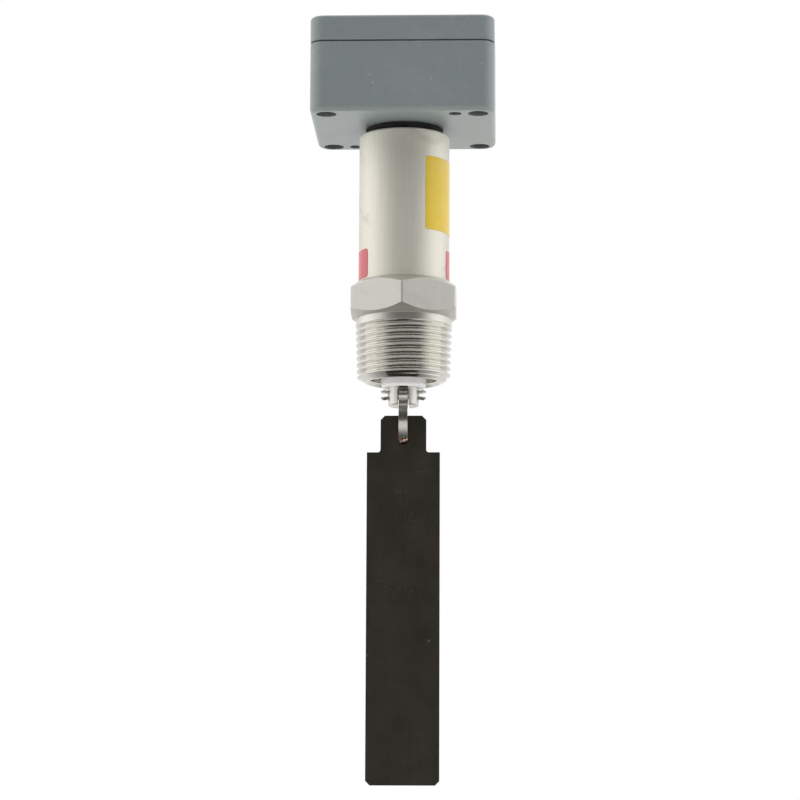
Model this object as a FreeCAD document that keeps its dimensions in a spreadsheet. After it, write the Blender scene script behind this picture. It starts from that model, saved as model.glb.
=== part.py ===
import FreeCAD, Part
import math
import os
import re
import Sketcher

# Paddle flow switch with a tapered 1 inch pipe thread.
# Frame: +Z runs up the stem towards the wiring box and the origin is on the stem's axis, at the lower face of
# the hexagon, where the threaded end starts. The paddle hangs along -Z and faces along Y. All sizes are in mm.

DOC = FreeCAD.newDocument("PaddleFlowSwitch")
SHEET = DOC.addObject("Spreadsheet::Sheet", "Sizes")
LEVELS = DOC.addObject("App::VarSet", "Levels")
NODES = []

# Driving sizes: name, value in mm (angles in degrees), what it is.
SIZES = [
    ("running_clearance", 0.05, "radial clearance of turning and sliding pieces"),
    ("seat_clearance", 0.05, "radial clearance of pieces that are pushed or screwed together"),
    ("hex_across_flats", 36.5, "hexagon of the fitting"),
    ("hex_height", 13.1, "height of the hexagon"),
    ("hex_upper_radius", 16.35, "circle where the chamfer meets the hexagon's upper face"),
    ("hex_lower_radius", 17.15, "circle where the chamfer meets the hexagon's lower face"),
    ("hex_chamfer_angle", 35.0, "slope of the chamfers in degrees"),
    ("neck_radius", 16.7, "plain neck between hexagon and thread"),
    ("neck_length", 2.3, "length of that neck"),
    ("thread_radius", 16.95, "crest radius of the tapered thread beside the neck"),
    ("thread_length", 20.0, "length of the tapered thread with its end chamfer"),
    ("thread_pitch", 2.309, "distance between two turns of the thread"),
    ("thread_depth", 1.28, "depth of the thread"),
    ("thread_flat", 0.488, "width of each crest and root"),
    ("thread_start", 1.83, "neck to the first full crest"),
    ("thread_chamfer", 1.7, "length of the chamfer at the thread's end"),
    ("thread_face_radius", 13.2, "outer radius of the thread's end face"),
    ("mouth_radius", 11.5, "open bore round the bush"),
    ("mouth_chamfer", 1.1, "chamfer inside the mouth"),
    ("mouth_depth", 8.3, "depth of the open bore"),
    ("web_thickness", 10.0, "web that carries the bush"),
    ("spigot_height", 4.0, "spigot over which the stem tube is pushed"),
    ("chamber_radius", 11.5, "bore above the web"),
    ("tube_radius", 15.875, "outer radius of the stem tube"),
    ("tube_wall", 1.5, "wall of the stem tube"),
    ("tube_length", 52.5, "stem tube above the hexagon"),
    ("tube_edge", 0.5, "rounding of the tube's upper edge"),
    ("cap_thickness", 5.0, "plug that closes the stem tube"),
    ("nipple_radius", 8.0, "threaded nipple of the plug"),
    ("nipple_bore", 5.5, "cable way through the nipple"),
    ("nipple_end", 1.2, "nipple standing proud of the lock nut"),
    ("nipple_chamfer", 0.8, "chamfer of the nipple's end"),
    ("gasket_radius", 13.6, "black gasket under the box"),
    ("gasket_thickness", 2.7, "thickness of that gasket"),
    ("lock_washer_radius", 11.2, "washer under the lock nut"),
    ("lock_washer_thickness", 1.0, "thickness of that washer"),
    ("lock_nut_flats", 22.0, "lock nut, across flats"),
    ("lock_nut_height", 5.0, "height of the lock nut"),
    ("nut_face_inset", 0.4, "lock nut's flats outside its turned faces"),
    ("box_width", 64.0, "wiring box along X"),
    ("box_depth", 58.0, "wiring box along Y"),
    ("base_height", 25.2, "height of the lower shell"),
    ("lid_height", 9.0, "height of the lid"),
    ("box_wall", 3.0, "side walls, floor and top of the box"),
    ("box_corner", 5.0, "upright corners of the box"),
    ("box_edge", 1.6, "rounded lower edge of the box"),
    ("lid_edge", 1.2, "rounded upper edge of the lid"),
    ("seam_edge", 0.35, "small rounding on both sides of the lid's seam"),
    ("seam_gap", 0.45, "shadow gap under the lid"),
    ("seam_gap_depth", 0.8, "depth of that gap"),
    ("boss_span_x", 52.6, "lid screws, centre to centre along X"),
    ("boss_span_y", 47.0, "lid screws, centre to centre along Y"),
    ("boss_radius", 4.8, "corner columns for the lid screws"),
    ("core_radius", 3.55, "cored recess under each corner column"),
    ("core_depth", 10.0, "depth of those recesses"),
    ("fixing_span_x", 36.6, "fixing holes, centre to centre along X"),
    ("fixing_radius", 2.3, "fixing hole"),
    ("fixing_depth", 12.0, "depth of the fixing holes"),
    ("fixing_boss", 4.6, "column of each fixing hole"),
    ("seal_inset", 0.8, "edge of the cavity to the lid seal"),
    ("seal_width", 1.2, "width of the lid seal"),
    ("seal_height", 1.2, "height of the lid seal"),
    ("screw_radius", 2.0, "lid screw"),
    ("screw_depth", 11.7, "lid screw below the seam"),
    ("screw_head_radius", 3.5, "head of the lid screw"),
    ("screw_head_height", 3.2, "height of that head"),
    ("screw_head_sink", 0.8, "head below the lid's top"),
    ("screw_slot", 1.0, "width of the driver slots"),
    ("screw_chamfer", 0.3, "chamfer of the larger screws"),
    ("small_chamfer", 0.2, "chamfer of the smaller screws"),
    ("hole_gap", 0.2, "gap round a screw's shank in its through hole"),
    ("head_gap", 0.15, "gap round a sunk screw head"),
    ("lid_head_gap", 0.3, "gap round a lid screw's head"),
    ("screw_hole_floor", 0.6, "screw hole below the screw's tip"),
    ("block_width", 28.0, "terminal block along X"),
    ("block_depth", 11.0, "terminal block along Y"),
    ("block_height", 13.0, "terminal block along Z"),
    ("block_offset", -2.5, "terminal block's middle along X"),
    ("block_wall_gap", 0.5, "terminal block to the front wall"),
    ("pole_pitch", 8.0, "distance between two terminals"),
    ("sleeve_radius", 2.4, "brass terminal sleeve"),
    ("sleeve_bore", 1.6, "wire way through the sleeve"),
    ("sleeve_height", 6.2, "axis of the sleeves above the floor"),
    ("sleeve_inset", 0.8, "sleeve behind the block's faces"),
    ("terminal_screw_pitch", 5.0, "two screws of one terminal"),
    ("terminal_screw_radius", 1.2, "terminal screw"),
    ("terminal_screw_tip", 1.0, "tip of a terminal screw above the sleeve's axis"),
    ("terminal_head_seat", 3.0, "head of a terminal screw above the sleeve's axis"),
    ("terminal_head_radius", 1.75, "head of a terminal screw"),
    ("small_head_height", 1.6, "height of the small screw heads"),
    ("block_screw_radius", 1.3, "screw that holds the terminal block"),
    ("block_screw_head", 1.6, "head of that screw"),
    ("block_screw_sink", 2.2, "seat of that head below the block's top"),
    ("earth_inset_x", 11.0, "earth screw to the box's side"),
    ("earth_inset_y", 17.0, "earth screw to the box's rear"),
    ("earth_boss_radius", 4.0, "pad under the earth screw"),
    ("earth_boss_height", 1.6, "height of that pad"),
    ("earth_hole_floor", 0.8, "floor of the earth screw's hole above the box's underside"),
    ("earth_screw_floor", 1.2, "tip of the earth screw above the box's underside"),
    ("earth_head_height", 2.6, "height of the earth screw's head"),
    ("washer_rim", 0.6, "earth washer outside the screw's head"),
    ("washer_thickness", 0.8, "thickness of the earth washer"),
    ("gland_height", 14.9, "axis of the cable gland above the box's underside"),
    ("gland_thread", 8.0, "thread radius of the cable gland"),
    ("gland_flats", 20.0, "gland body, across flats"),
    ("gland_flange", 4.5, "thickness of the gland's hexagon"),
    ("gland_washer_thickness", 1.0, "sealing washer of the gland"),
    ("gland_washer_rim", 0.4, "gland's hexagon outside that washer"),
    ("gland_thread_inside", 5.0, "gland's thread inside the box"),
    ("gland_lock_height", 3.5, "lock nut of the gland"),
    ("gland_lock_step", 1.0, "lock nut less wide across flats than the body"),
    ("gland_bore_step", 0.2, "gland's bore narrower than its mouth"),
    ("gland_play", 0.1, "gap between the clamping nut and what it covers"),
    ("gland_seal_bore", 4.0, "cable seal's bore"),
    ("gland_seal_radius", 6.2, "cable seal's outer radius"),
    ("gland_seal_length", 10.5, "length of the cable seal"),
    ("gland_collar", 7.4, "outer radius of the gland's rear collar"),
    ("gland_collar_length", 6.0, "length of that collar"),
    ("gland_nut_length", 11.0, "length of the gland's clamping nut"),
    ("gland_nut_gap", 0.4, "gap between gland body and clamping nut"),
    ("gland_mouth", 5.2, "opening in the clamping nut"),
    ("gland_mouth_edge", 0.8, "chamfer of that opening"),
    ("gland_cap_floor", 0.3, "collar to the inner face of the clamping nut"),
    ("gland_cap_lip", 1.6, "flat rim round the opening"),
    ("gland_cap_rim", 0.6, "rounded rim of the clamping nut"),
    ("gland_dome_length", 5.0, "domed end of the clamping nut"),
    ("bush_radius", 7.75, "white guide bush"),
    ("bush_proud", 1.85, "bush below the thread's end"),
    ("bush_edge", 0.8, "rounded lower edge of the bush"),
    ("bush_flange_radius", 10.6, "flange of the bush on the web"),
    ("bush_flange_height", 1.5, "height of that flange"),
    ("clevis_radius", 5.35, "clevis"),
    ("clevis_edge", 0.3, "chamfer at the clevis's lower edge"),
    ("clevis_flange_radius", 7.4, "flange of the clevis on the bush"),
    ("clevis_flange_height", 1.4, "height of that flange"),
    ("clevis_below_pin", 3.9, "pivot to the clevis's lower end"),
    ("clevis_bore", 3.4, "bore for the push rod's foot"),
    ("slot_width", 3.85, "slot for the lever"),
    ("slot_above_lever", 1.3, "room for the lever's head in the slot"),
    ("pivot_drop", 26.6, "pivot axis below the hexagon"),
    ("pin_radius", 1.55, "pivot pin"),
    ("pin_reach", 8.1, "pivot pin's ends from the middle"),
    ("pin_slit", 0.9, "slit in each end of the pin"),
    ("pin_splay_angle", 11.0, "each half end bent away from the slit, in degrees"),
    ("pin_point_angle", 40.0, "slope of the pointed ends in degrees"),
    ("pin_tip", 0.25, "thickness of the pointed ends"),
    ("pin_root", 0.1, "half ends let into the shank"),
    ("lever_thickness", 3.1, "lever along X"),
    ("lever_eye", 3.3, "outer radius of the lever's eye"),
    ("lever_head", 3.0, "flat top of the lever above the pivot"),
    ("cam_reach", 3.3, "edge of that flat top behind the pivot"),
    ("hook_radius", 9.6, "front curve of the hooked arm"),
    ("hook_inner_radius", 7.4, "rear curve of the hooked arm"),
    ("hook_back", 4.6, "centre of the front curve behind the pivot"),
    ("hook_drop", 8.6, "centre of both curves below the pivot"),
    ("hook_width", 3.2, "hooked arm at its widest"),
    ("paddle_width", 25.4, "paddle blade"),
    ("paddle_thickness", 1.0, "sheet of the paddle"),
    ("paddle_length", 128.1, "paddle with its tab"),
    ("paddle_chamfer", 1.5, "cut corners"),
    ("tab_width", 15.9, "tab of the paddle"),
    ("tab_height", 12.9, "height of the tab"),
    ("tab_corner", 1.0, "hollow corner between tab and blade"),
    ("tab_drop", 7.2, "tab's top edge below the pivot"),
    ("braze_spread", 0.55, "braze beside the lever's foot"),
    ("braze_height", 2.5, "braze in front of the paddle's face"),
    ("braze_length", 4.1, "braze along the paddle"),
    ("rod_radius", 1.5, "push rod"),
    ("rod_top", 15.5, "push rod's end above the hexagon's lower face"),
    ("foot_radius", 3.3, "foot of the push rod"),
    ("foot_height", 1.2, "height of that foot"),
    ("flange_thickness", 2.2, "flange of the guide tube"),
    ("guide_bore", 5.0, "bore of the guide tube"),
    ("guide_wall", 1.0, "wall of the guide tube"),
    ("guide_top", 48.0, "top of the guide tube above the hexagon's lower face"),
    ("ring_nut_height", 4.0, "ring nut on the guide tube's flange"),
    ("ring_wire", 0.6, "section radius of the O-ring"),
    ("holder_length", 14.5, "magnet holder"),
    ("holder_floor", 4.0, "magnet holder's lower end, where the rod is held"),
    ("key_hole_radius", 0.9, "key holes in the ring nut"),
    ("key_hole_depth", 2.0, "depth of the key holes"),
    ("ring_nut_gap", 0.3, "ring nut to the guide tube"),
    ("magnet_radius", 3.5, "magnet"),
    ("magnet_length", 9.5, "length of the magnet"),
    ("spring_wire", 0.35, "wire radius of the return spring"),
    ("spring_radius", 4.3, "mean radius of the return spring"),
    ("spring_turns", 7.0, "turns of the return spring"),
    ("carrier_radius", 9.8, "reed switch carrier"),
    ("carrier_floor", 22.0, "carrier's lower end above the hexagon's lower face"),
    ("carrier_length", 22.0, "length of the carrier"),
    ("reed_radius", 1.3, "glass body of the reed switch"),
    ("reed_length", 14.0, "length of that body"),
    ("reed_offset", 8.0, "reed switch behind the stem's axis"),
    ("reed_lead", 0.3, "wire ends of the reed switch"),
    ("reed_gap", 0.6, "gap between the two contact blades"),
    ("reed_shoulder", 0.9, "rounded ends of the glass body"),
    ("reed_neck", 0.8, "radius of the glass where the wires leave"),
    ("grub_radius", 1.45, "grub screw of the carrier"),
    ("grub_sink", 0.3, "grub screw below the carrier's face"),
    ("lead_radius", 0.6, "insulated leads"),
    ("lead_spacing", 4.4, "distance between the leads in the nipple"),
    ("lead_offset", 1.5, "leads behind the stem's axis in the nipple"),
    ("lead_run", 16.0, "straight run of the leads below the nipple's end"),
    ("lead_straight", 2.0, "straight run of the leads above it"),
    ("lead_rise", 6.0, "height of the leads' bends over the nipple and the carrier"),
    ("lead_side_rise", 4.0, "height of the blue lead's bend over the carrier"),
    ("lead_forward", 5.0, "top of that arch in front of the stem's axis"),
    ("lead_entry", 3.5, "leads in front of the terminal block"),
    ("lead_fall", 1.5, "leads above the terminals at that point"),
    ("lead_tail", 1.0, "end of the leads inside the terminals"),
    ("lead_loop", 2.2, "loop of the blue lead under the carrier"),
    ("label_thickness", 0.12, "foil labels on the tube"),
    ("yellow_bottom", 29.8, "yellow label's lower edge"),
    ("yellow_height", 26.2, "height of the yellow label"),
    ("yellow_start", -60.0, "yellow label's front edge, angle from +X"),
    ("yellow_angle", 172.0, "angle covered by the yellow label"),
    ("red_bottom", 13.6, "red label's lower edge"),
    ("red_height", 10.2, "height of the red label"),
    ("red_start", -20.8, "red label's first edge, angle from +X"),
    ("red_angle", 239.9, "angle covered by the red label"),
]

# The thread's taper, as radius for each unit of length, and the depth that driver slots leave, as a share of the
# screw head's height.
TAPER = "1 / 32"
SLOT_FLOOR = 0.55

# Levels and offsets that follow from the sizes.
DERIVED = [
    ("thread_end", "-neck_length - thread_length"),
    ("web_bottom", "thread_end + mouth_depth"),
    ("web_top", "web_bottom + web_thickness"),
    ("spigot_top", "hex_height + spigot_height"),
    ("tube_bore", "tube_radius - tube_wall"),
    ("tube_top", "hex_height + tube_length"),
    ("box_bottom", "tube_top + gasket_thickness"),
    ("floor_top", "box_bottom + box_wall"),
    ("seam", "box_bottom + base_height"),
    ("base_top", "seam - seam_gap"),
    ("box_top", "seam + lid_height"),
    ("nut_bottom", "floor_top + lock_washer_thickness"),
    ("nut_top", "nut_bottom + lock_nut_height"),
    ("nipple_top", "nut_top + nipple_end"),
    ("inner_width", "box_width - 2 * box_wall"),
    ("inner_depth", "box_depth - 2 * box_wall"),
    ("head_top", "box_top - screw_head_sink"),
    ("head_bottom", "head_top - screw_head_height"),
    ("block_front", "-inner_depth / 2 + block_wall_gap"),
    ("block_middle", "block_front + block_depth / 2"),
    ("sleeve_axis", "floor_top + sleeve_height"),
    ("block_top", "floor_top + block_height"),
    ("earth_seat", "floor_top + earth_boss_height"),
    ("earth_x", "box_width / 2 - earth_inset_x"),
    ("earth_y", "box_depth / 2 - earth_inset_y"),
    ("gland_axis", "box_bottom + gland_height"),
    ("gland_wall", "box_depth / 2"),
    ("gland_seat", "gland_washer_thickness + gland_flange"),
    ("bush_bottom", "thread_end - bush_proud"),
    ("bush_top", "web_top + bush_flange_height"),
    ("clevis_top", "bush_top + clevis_flange_height"),
    ("clevis_bottom", "-pivot_drop - clevis_below_pin"),
    ("slot_top", "-pivot_drop + lever_head + slot_above_lever"),
    ("lever_top", "-pivot_drop + lever_head"),
    ("flange_top", "clevis_top + flange_thickness"),
    ("tab_top", "-pivot_drop - tab_drop"),
    ("paddle_bottom", "tab_top - paddle_length"),
    ("shoulder", "tab_top - tab_height"),
    ("hook_centre", "-pivot_drop - hook_drop"),
    ("hook_inner_back", "hook_back - hook_radius + hook_width + hook_inner_radius"),
    ("holder_bottom", "rod_top - holder_floor"),
    ("holder_top", "holder_bottom + holder_length"),
    ("guide_radius", "guide_bore + guide_wall"),
    ("spring_top", "guide_top - guide_wall"),
    ("reed_middle", "carrier_floor + carrier_length / 2"),
]


def fill_sheet():
    """Writes the sizes to the sheet and the levels that follow from them to the variable set."""
    for row, (name, value, meaning) in enumerate(SIZES, start=1):
        SHEET.set(f"A{row}", name)
        SHEET.set(f"B{row}", str(value))
        SHEET.set(f"C{row}", meaning)
        SHEET.setAlias(f"B{row}", name)
    DOC.recompute()
    for name, _ in DERIVED:
        LEVELS.addProperty("App::PropertyFloat", name, "Levels")
    for name, text in DERIVED:
        LEVELS.setExpression(name, formula(text))
        DOC.recompute()


def formula(text):
    """An expression in which each size and level is named with the object that holds it."""
    sizes = {row[0] for row in SIZES}
    levels = {row[0] for row in DERIVED}

    def owner(match):
        word = match.group(0)
        if word in sizes:
            return "Sizes." + word
        if word in levels:
            return "Levels." + word
        return word

    return re.sub(r"[A-Za-z_][A-Za-z_0-9]*", owner, str(text))


def size(name):
    """The number behind a size or a level."""
    if name in LEVELS.PropertiesList:
        return getattr(LEVELS, name)
    return float(SHEET.get(name))


def bind(piece, **formulas):
    """Ties properties of a piece to the sheet."""
    for name, text in formulas.items():
        piece.setExpression(name, formula(text))
    return piece


def place(piece, x="0", y="0", z="0"):
    """Ties a piece's position to the sheet and keeps its rotation."""
    for axis, text in (("x", x), ("y", y), ("z", z)):
        piece.setExpression("Placement.Base." + axis, formula(text))
    return piece


def turn(piece, axis, angle):
    """Rotates a piece about its own origin."""
    piece.Placement.Rotation = FreeCAD.Rotation(FreeCAD.Vector(*axis), angle)
    return piece


def block(name, x, y, z):
    """A box from three pairs of formulas: low and high along X, Y and Z."""
    box = DOC.addObject("Part::Box", name)
    bind(box, Length=f"({x[1]}) - ({x[0]})", Width=f"({y[1]}) - ({y[0]})", Height=f"({z[1]}) - ({z[0]})")
    return place(box, x[0], y[0], z[0])


def cylinder(name, radius, low, high, x="0", y="0"):
    """An upright cylinder between two levels."""
    solid = DOC.addObject("Part::Cylinder", name)
    bind(solid, Radius=radius, Height=f"({high}) - ({low})")
    return place(solid, x, y, low)


def cross_cylinder(name, radius, low, high, y="0", z="0"):
    """A cylinder along X."""
    solid = turn(DOC.addObject("Part::Cylinder", name), (0, 1, 0), 90)
    bind(solid, Radius=radius, Height=f"({high}) - ({low})")
    return place(solid, low, y, z)


def depth_cylinder(name, radius, low, high, x="0", z="0"):
    """A cylinder along Y."""
    solid = turn(DOC.addObject("Part::Cylinder", name), (1, 0, 0), -90)
    bind(solid, Radius=radius, Height=f"({high}) - ({low})")
    return place(solid, x, low, z)


def hexagon(name, flats, low, high, rotation=30):
    """An upright hexagonal prism; with a rotation of 30 a corner points along -Y."""
    prism = turn(DOC.addObject("Part::Prism", name), (0, 0, 1), rotation)
    prism.Polygon = 6
    bind(prism, Circumradius=f"({flats}) / 2 / cos(30)", Height=f"({high}) - ({low})")
    return place(prism, z=low)


def fuse(name, *parts):
    """One solid from several that overlap or touch."""
    union = DOC.addObject("Part::MultiFuse", name)
    union.Shapes = list(parts)
    union.Refine = True
    return union


def group(name, parts):
    """Separate solids that share one node."""
    compound = DOC.addObject("Part::Compound", name)
    compound.Links = list(parts)
    return compound


def cut(name, base, *tools):
    """The base without the tools."""
    result = DOC.addObject("Part::Cut", name)
    result.Base = base
    result.Tool = tools[0] if len(tools) == 1 else fuse(name + "_tools", *tools)
    result.Refine = True
    return result


def common(name, first, second):
    """What two solids share."""
    result = DOC.addObject("Part::Common", name)
    result.Base = first
    result.Tool = second
    return result


def round_edges(name, base, choose):
    """Rounds the edges for which choose(edge) gives a radius."""
    DOC.recompute()
    fillet = DOC.addObject("Part::Fillet", name)
    fillet.Base = base
    picked = []
    for number, edge in enumerate(base.Shape.Edges, start=1):
        radius = choose(edge)
        if radius:
            picked.append((number, radius, radius))
    fillet.Edges = picked
    return fillet


def outline(body, plane, points):
    """A closed sketch of straight lines on one of the body's origin planes, every corner tied to the sheet."""
    sketch = body.newObject("Sketcher::SketchObject", body.Name + "_outline")
    sketch.AttachmentSupport = [(next(f for f in body.Origin.OriginFeatures if f.Role == plane), "")]
    sketch.MapMode = "FlatFace"
    count = len(points)
    corners = [FreeCAD.Vector(math.cos(2 * math.pi * i / count), math.sin(2 * math.pi * i / count), 0)
               for i in range(count)]
    for i in range(count):
        sketch.addGeometry(Part.LineSegment(corners[i], corners[(i + 1) % count]), False)
    for i in range(count):
        sketch.addConstraint(Sketcher.Constraint("Coincident", i, 2, (i + 1) % count, 1))
    for i, corner in enumerate(points):
        for kind, text in zip(("DistanceX", "DistanceY"), corner):
            number = sketch.addConstraint(Sketcher.Constraint(kind, -1, 1, i, 1, 1.0))
            sketch.setExpression(f"Constraints[{number}]", formula(text))
    return sketch


def turned(name, points):
    """A body of revolution about Z from (radius, height) corners."""
    body = DOC.addObject("PartDesign::Body", name)
    sketch = outline(body, "XZ_Plane", points)
    revolution = body.newObject("PartDesign::Revolution", name + "_revolution")
    revolution.Profile = sketch
    revolution.ReferenceAxis = (sketch, ["V_Axis"])
    revolution.Angle = 360
    body.Tip = revolution
    return body


def tube(name, outer, inner, low, high):
    """A plain ring."""
    return turned(name, [(inner, low), (outer, low), (outer, high), (inner, high)])


def keep(node, piece):
    """Registers a finished sub-part under its node name."""
    piece.Label = node
    NODES.append(piece)
    return piece


def corner_points(span_x, span_y):
    """The four corners of a rectangle as pairs of formulas."""
    return [(f"{sx}{span_x} / 2", f"{sy}{span_y} / 2") for sx in ("-", "") for sy in ("-", "")]


def fixing_points():
    """The two fixing holes, on one diagonal of the box."""
    return [("fixing_span_x / 2", "-boss_span_y / 2"), ("-fixing_span_x / 2", "boss_span_y / 2")]


# Wiring box ---------------------------------------------------------------------------------------------------

def shell(name, low, high, upper):
    """A solid block of the box's outline with rounded corners, one softly rounded rim and a fine seam edge."""
    solid = block(name + "_block", ("-box_width / 2", "box_width / 2"), ("-box_depth / 2", "box_depth / 2"),
                  (low, high))
    corner, edge, seam_edge = size("box_corner"), size("lid_edge" if upper else "box_edge"), size("seam_edge")
    seam_side = size(low if upper else high)

    def radius(candidate):
        box = candidate.BoundBox
        if box.ZLength > 1:
            return corner
        return seam_edge if abs(box.ZMin - seam_side) < 0.01 else edge

    return round_edges(name + "_outer", solid, radius)


def seam_rim():
    """Upper rim of the lower shell, set back all round, so that a shadow gap stays under the lid."""
    rim = block("rim_block", ("-box_width / 2 + seam_gap_depth", "box_width / 2 - seam_gap_depth"),
                ("-box_depth / 2 + seam_gap_depth", "box_depth / 2 - seam_gap_depth"),
                ("base_top - box_wall", "seam"))
    corner = size("box_corner") - size("seam_gap_depth")
    return round_edges("base_rim", rim, lambda edge: corner if edge.BoundBox.ZLength > 1 else 0)


def outwards(centre, near, far):
    """The stretch from the inner side of a column to the wall behind it, on whichever side of the box it is."""
    return (f"-{far}", f"{centre} + ({near})") if centre.startswith("-") else (f"{centre} - ({near})", far)


def column(name, low, high, radius, x, y, corner):
    """A round column joined to the wall behind it, and at a corner of the box to both walls."""
    reach_x, reach_y = "(box_width / 2)", "(box_depth / 2)"
    across = outwards(x, radius, reach_x) if corner else (f"{x} - ({radius})", f"{x} + ({radius})")
    parts = [cylinder(name, radius, low, high, x, y),
             block(name + "_web", across, outwards(y, "0", reach_y), (low, high))]
    if corner:
        parts.append(block(name + "_side_web", outwards(x, "0", reach_x), outwards(y, radius, reach_y),
                           (low, high)))
    return parts


def cavity(name, low, high, grow):
    """The inner outline of the box between two levels: a rectangle that leaves the screw columns standing."""
    room = block(name + "_room", (f"-inner_width / 2 - ({grow})", f"inner_width / 2 + ({grow})"),
                 (f"-inner_depth / 2 - ({grow})", f"inner_depth / 2 + ({grow})"), (low, high))
    columns = []
    for x, y in corner_points("boss_span_x", "boss_span_y"):
        columns += column(f"{name}_column", low, high, f"boss_radius - ({grow})", x, y, True)
    for x, y in fixing_points():
        columns += column(f"{name}_fixing_column", low, high, f"fixing_boss - ({grow})", x, y, False)
    return cut(name, room, *columns)


def enclosure_base():
    """Lower shell: cavity, corner columns cored from below, fixing holes, stem hole, gland hole, earth pad."""
    outer = fuse("base_blank", shell("base", "box_bottom", "base_top", False), seam_rim())
    pad = cylinder("earth_pad", "earth_boss_radius", "box_bottom", "earth_seat", "earth_x", "earth_y")
    room = cut("base_room", cavity("base_cavity", "floor_top", "seam + 1", "0"), pad)
    holes = [room]
    for x, y in corner_points("boss_span_x", "boss_span_y"):
        holes.append(cylinder("core", "core_radius", "box_bottom - 1", "box_bottom + core_depth", x, y))
        holes.append(cylinder("screw_hole", "screw_radius + seat_clearance",
                              "seam - screw_depth - screw_hole_floor", "seam + 1", x, y))
    for x, y in fixing_points():
        holes.append(cylinder("fixing_hole", "fixing_radius", "box_bottom - 1", "box_bottom + fixing_depth",
                              x, y))
    holes.append(cylinder("stem_hole", "nipple_radius + seat_clearance", "box_bottom - 1", "floor_top + 1"))
    holes.append(depth_cylinder("gland_hole", "gland_thread + seat_clearance", "inner_depth / 2 - 1",
                                "gland_wall + 1", z="gland_axis"))
    holes.append(cylinder("earth_hole", "screw_radius + seat_clearance", "box_bottom + earth_hole_floor",
                          "earth_seat + 1",
                          "earth_x", "earth_y"))
    keep("enclosure_base", cut("enclosure_base", outer, *holes))


def enclosure_lid():
    """Lid: shallow hollow, seal groove and four counterbored screw holes."""
    outer = shell("lid", "seam", "box_top", True)
    holes = [cavity("lid_cavity", "seam - 1", "box_top - box_wall", "0"),
             cut("seal_groove", cavity("groove_outer", "seam - 1", "seam + seal_height",
                                       "seal_inset + seal_width + seat_clearance"),
                 cavity("groove_inner", "seam - 2", "seam + seal_height + 1", "seal_inset - seat_clearance"))]
    for x, y in corner_points("boss_span_x", "boss_span_y"):
        holes.append(cylinder("lid_hole", "screw_radius + hole_gap", "seam - 1", "box_top", x, y))
        holes.append(cylinder("counterbore", "screw_head_radius + lid_head_gap", "head_bottom", "box_top + 1",
                              x, y))
    keep("enclosure_lid", cut("enclosure_lid", outer, *holes))


def lid_gasket():
    """Seal that runs round the cavity inside the screw columns."""
    keep("lid_gasket", cut("lid_gasket", cavity("seal_outer", "seam", "seam + seal_height",
                                                "seal_inset + seal_width"),
                           cavity("seal_inner", "seam - 1", "seam + seal_height + 1", "seal_inset")))


def slotted_screw(name, x, y, tip, seat, shank, head, height, chamfer="screw_chamfer"):
    """A cheese-head screw with a driver slot."""
    top, half_slot = f"{seat} + {height}", f"screw_slot * ({head}) / screw_head_radius / 2"
    body = turned(name + "_body", [("0", tip), (f"{shank} - {chamfer}", tip), (shank, f"{tip} + {chamfer}"),
                                   (shank, seat), (head, seat), (head, f"{top} - {chamfer}"),
                                   (f"{head} - {chamfer}", top), ("0", top)])
    place(body, x, y, "0")
    slot = block(name + "_slot", (f"{x} - 2 * ({head})", f"{x} + 2 * ({head})"),
                 (f"{y} - {half_slot}", f"{y} + {half_slot}"),
                 (f"{seat} + ({height}) * {SLOT_FLOOR}", f"{top} + 1"))
    return cut(name, body, slot)


def lid_screws():
    """Four captive screws."""
    screws = [slotted_screw("lid_screw", x, y, "seam - screw_depth", "head_bottom", "screw_radius",
                            "screw_head_radius", "screw_head_height")
              for x, y in corner_points("boss_span_x", "boss_span_y")]
    keep("lid_screws", group("lid_screws", screws))


def pole_positions():
    """Middles of the three terminals along X."""
    return [f"(block_offset + {step} * pole_pitch)" for step in (-1, 0, 1)]


def terminal_block():
    """Three-way terminal block with brass sleeves, clamping screws and two fixing screws."""
    back = "block_front + block_depth"
    moulding = block("moulding", ("block_offset - block_width / 2", "block_offset + block_width / 2"),
                     ("block_front", back), ("floor_top", "block_top"))
    through = ("block_front - 1", f"{back} + 1")
    holes, sleeves, screws = [], [], []
    for x in pole_positions():
        holes.append(depth_cylinder("wire_way", "sleeve_radius + seat_clearance", *through, x, "sleeve_axis"))
        bores = [depth_cylinder("sleeve_bore", "sleeve_bore", *through, x, "sleeve_axis")]
        for side in (-1, 1):
            y = f"(block_middle + {side} * terminal_screw_pitch / 2)"
            holes.append(cylinder("screw_well", "terminal_head_radius + head_gap", "sleeve_axis",
                                  "block_top + 1", x, y))
            bores.append(cylinder("sleeve_thread", "terminal_screw_radius + seat_clearance", "sleeve_axis",
                                  "block_top", x, y))
            screws.append(slotted_screw("terminal_screw", x, y, "sleeve_axis + terminal_screw_tip",
                                        "sleeve_axis + terminal_head_seat", "terminal_screw_radius",
                                        "terminal_head_radius", "small_head_height", "small_chamfer"))
        sleeve = depth_cylinder("sleeve_rod", "sleeve_radius", "block_front + sleeve_inset",
                                f"{back} - sleeve_inset", x, "sleeve_axis")
        sleeves.append(cut("sleeve", sleeve, *bores))
    fixings = []
    for side in (-1, 1):
        x = f"(block_offset + {side} * pole_pitch / 2)"
        holes.append(cylinder("fixing_well", "block_screw_head + head_gap", "floor_top - 1", "block_top + 1", x,
                              "block_middle"))
        fixings.append(slotted_screw("block_screw", x, "block_middle", "floor_top + seat_clearance",
                                     "block_top - block_screw_sink", "block_screw_radius", "block_screw_head",
                                     "small_head_height", "small_chamfer"))
    keep("terminal_block", cut("terminal_block", moulding, *holes))
    keep("terminal_sleeves", group("terminal_sleeves", sleeves))
    keep("terminal_screws", group("terminal_screws", screws))
    keep("block_screws", group("block_screws", fixings))


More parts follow.
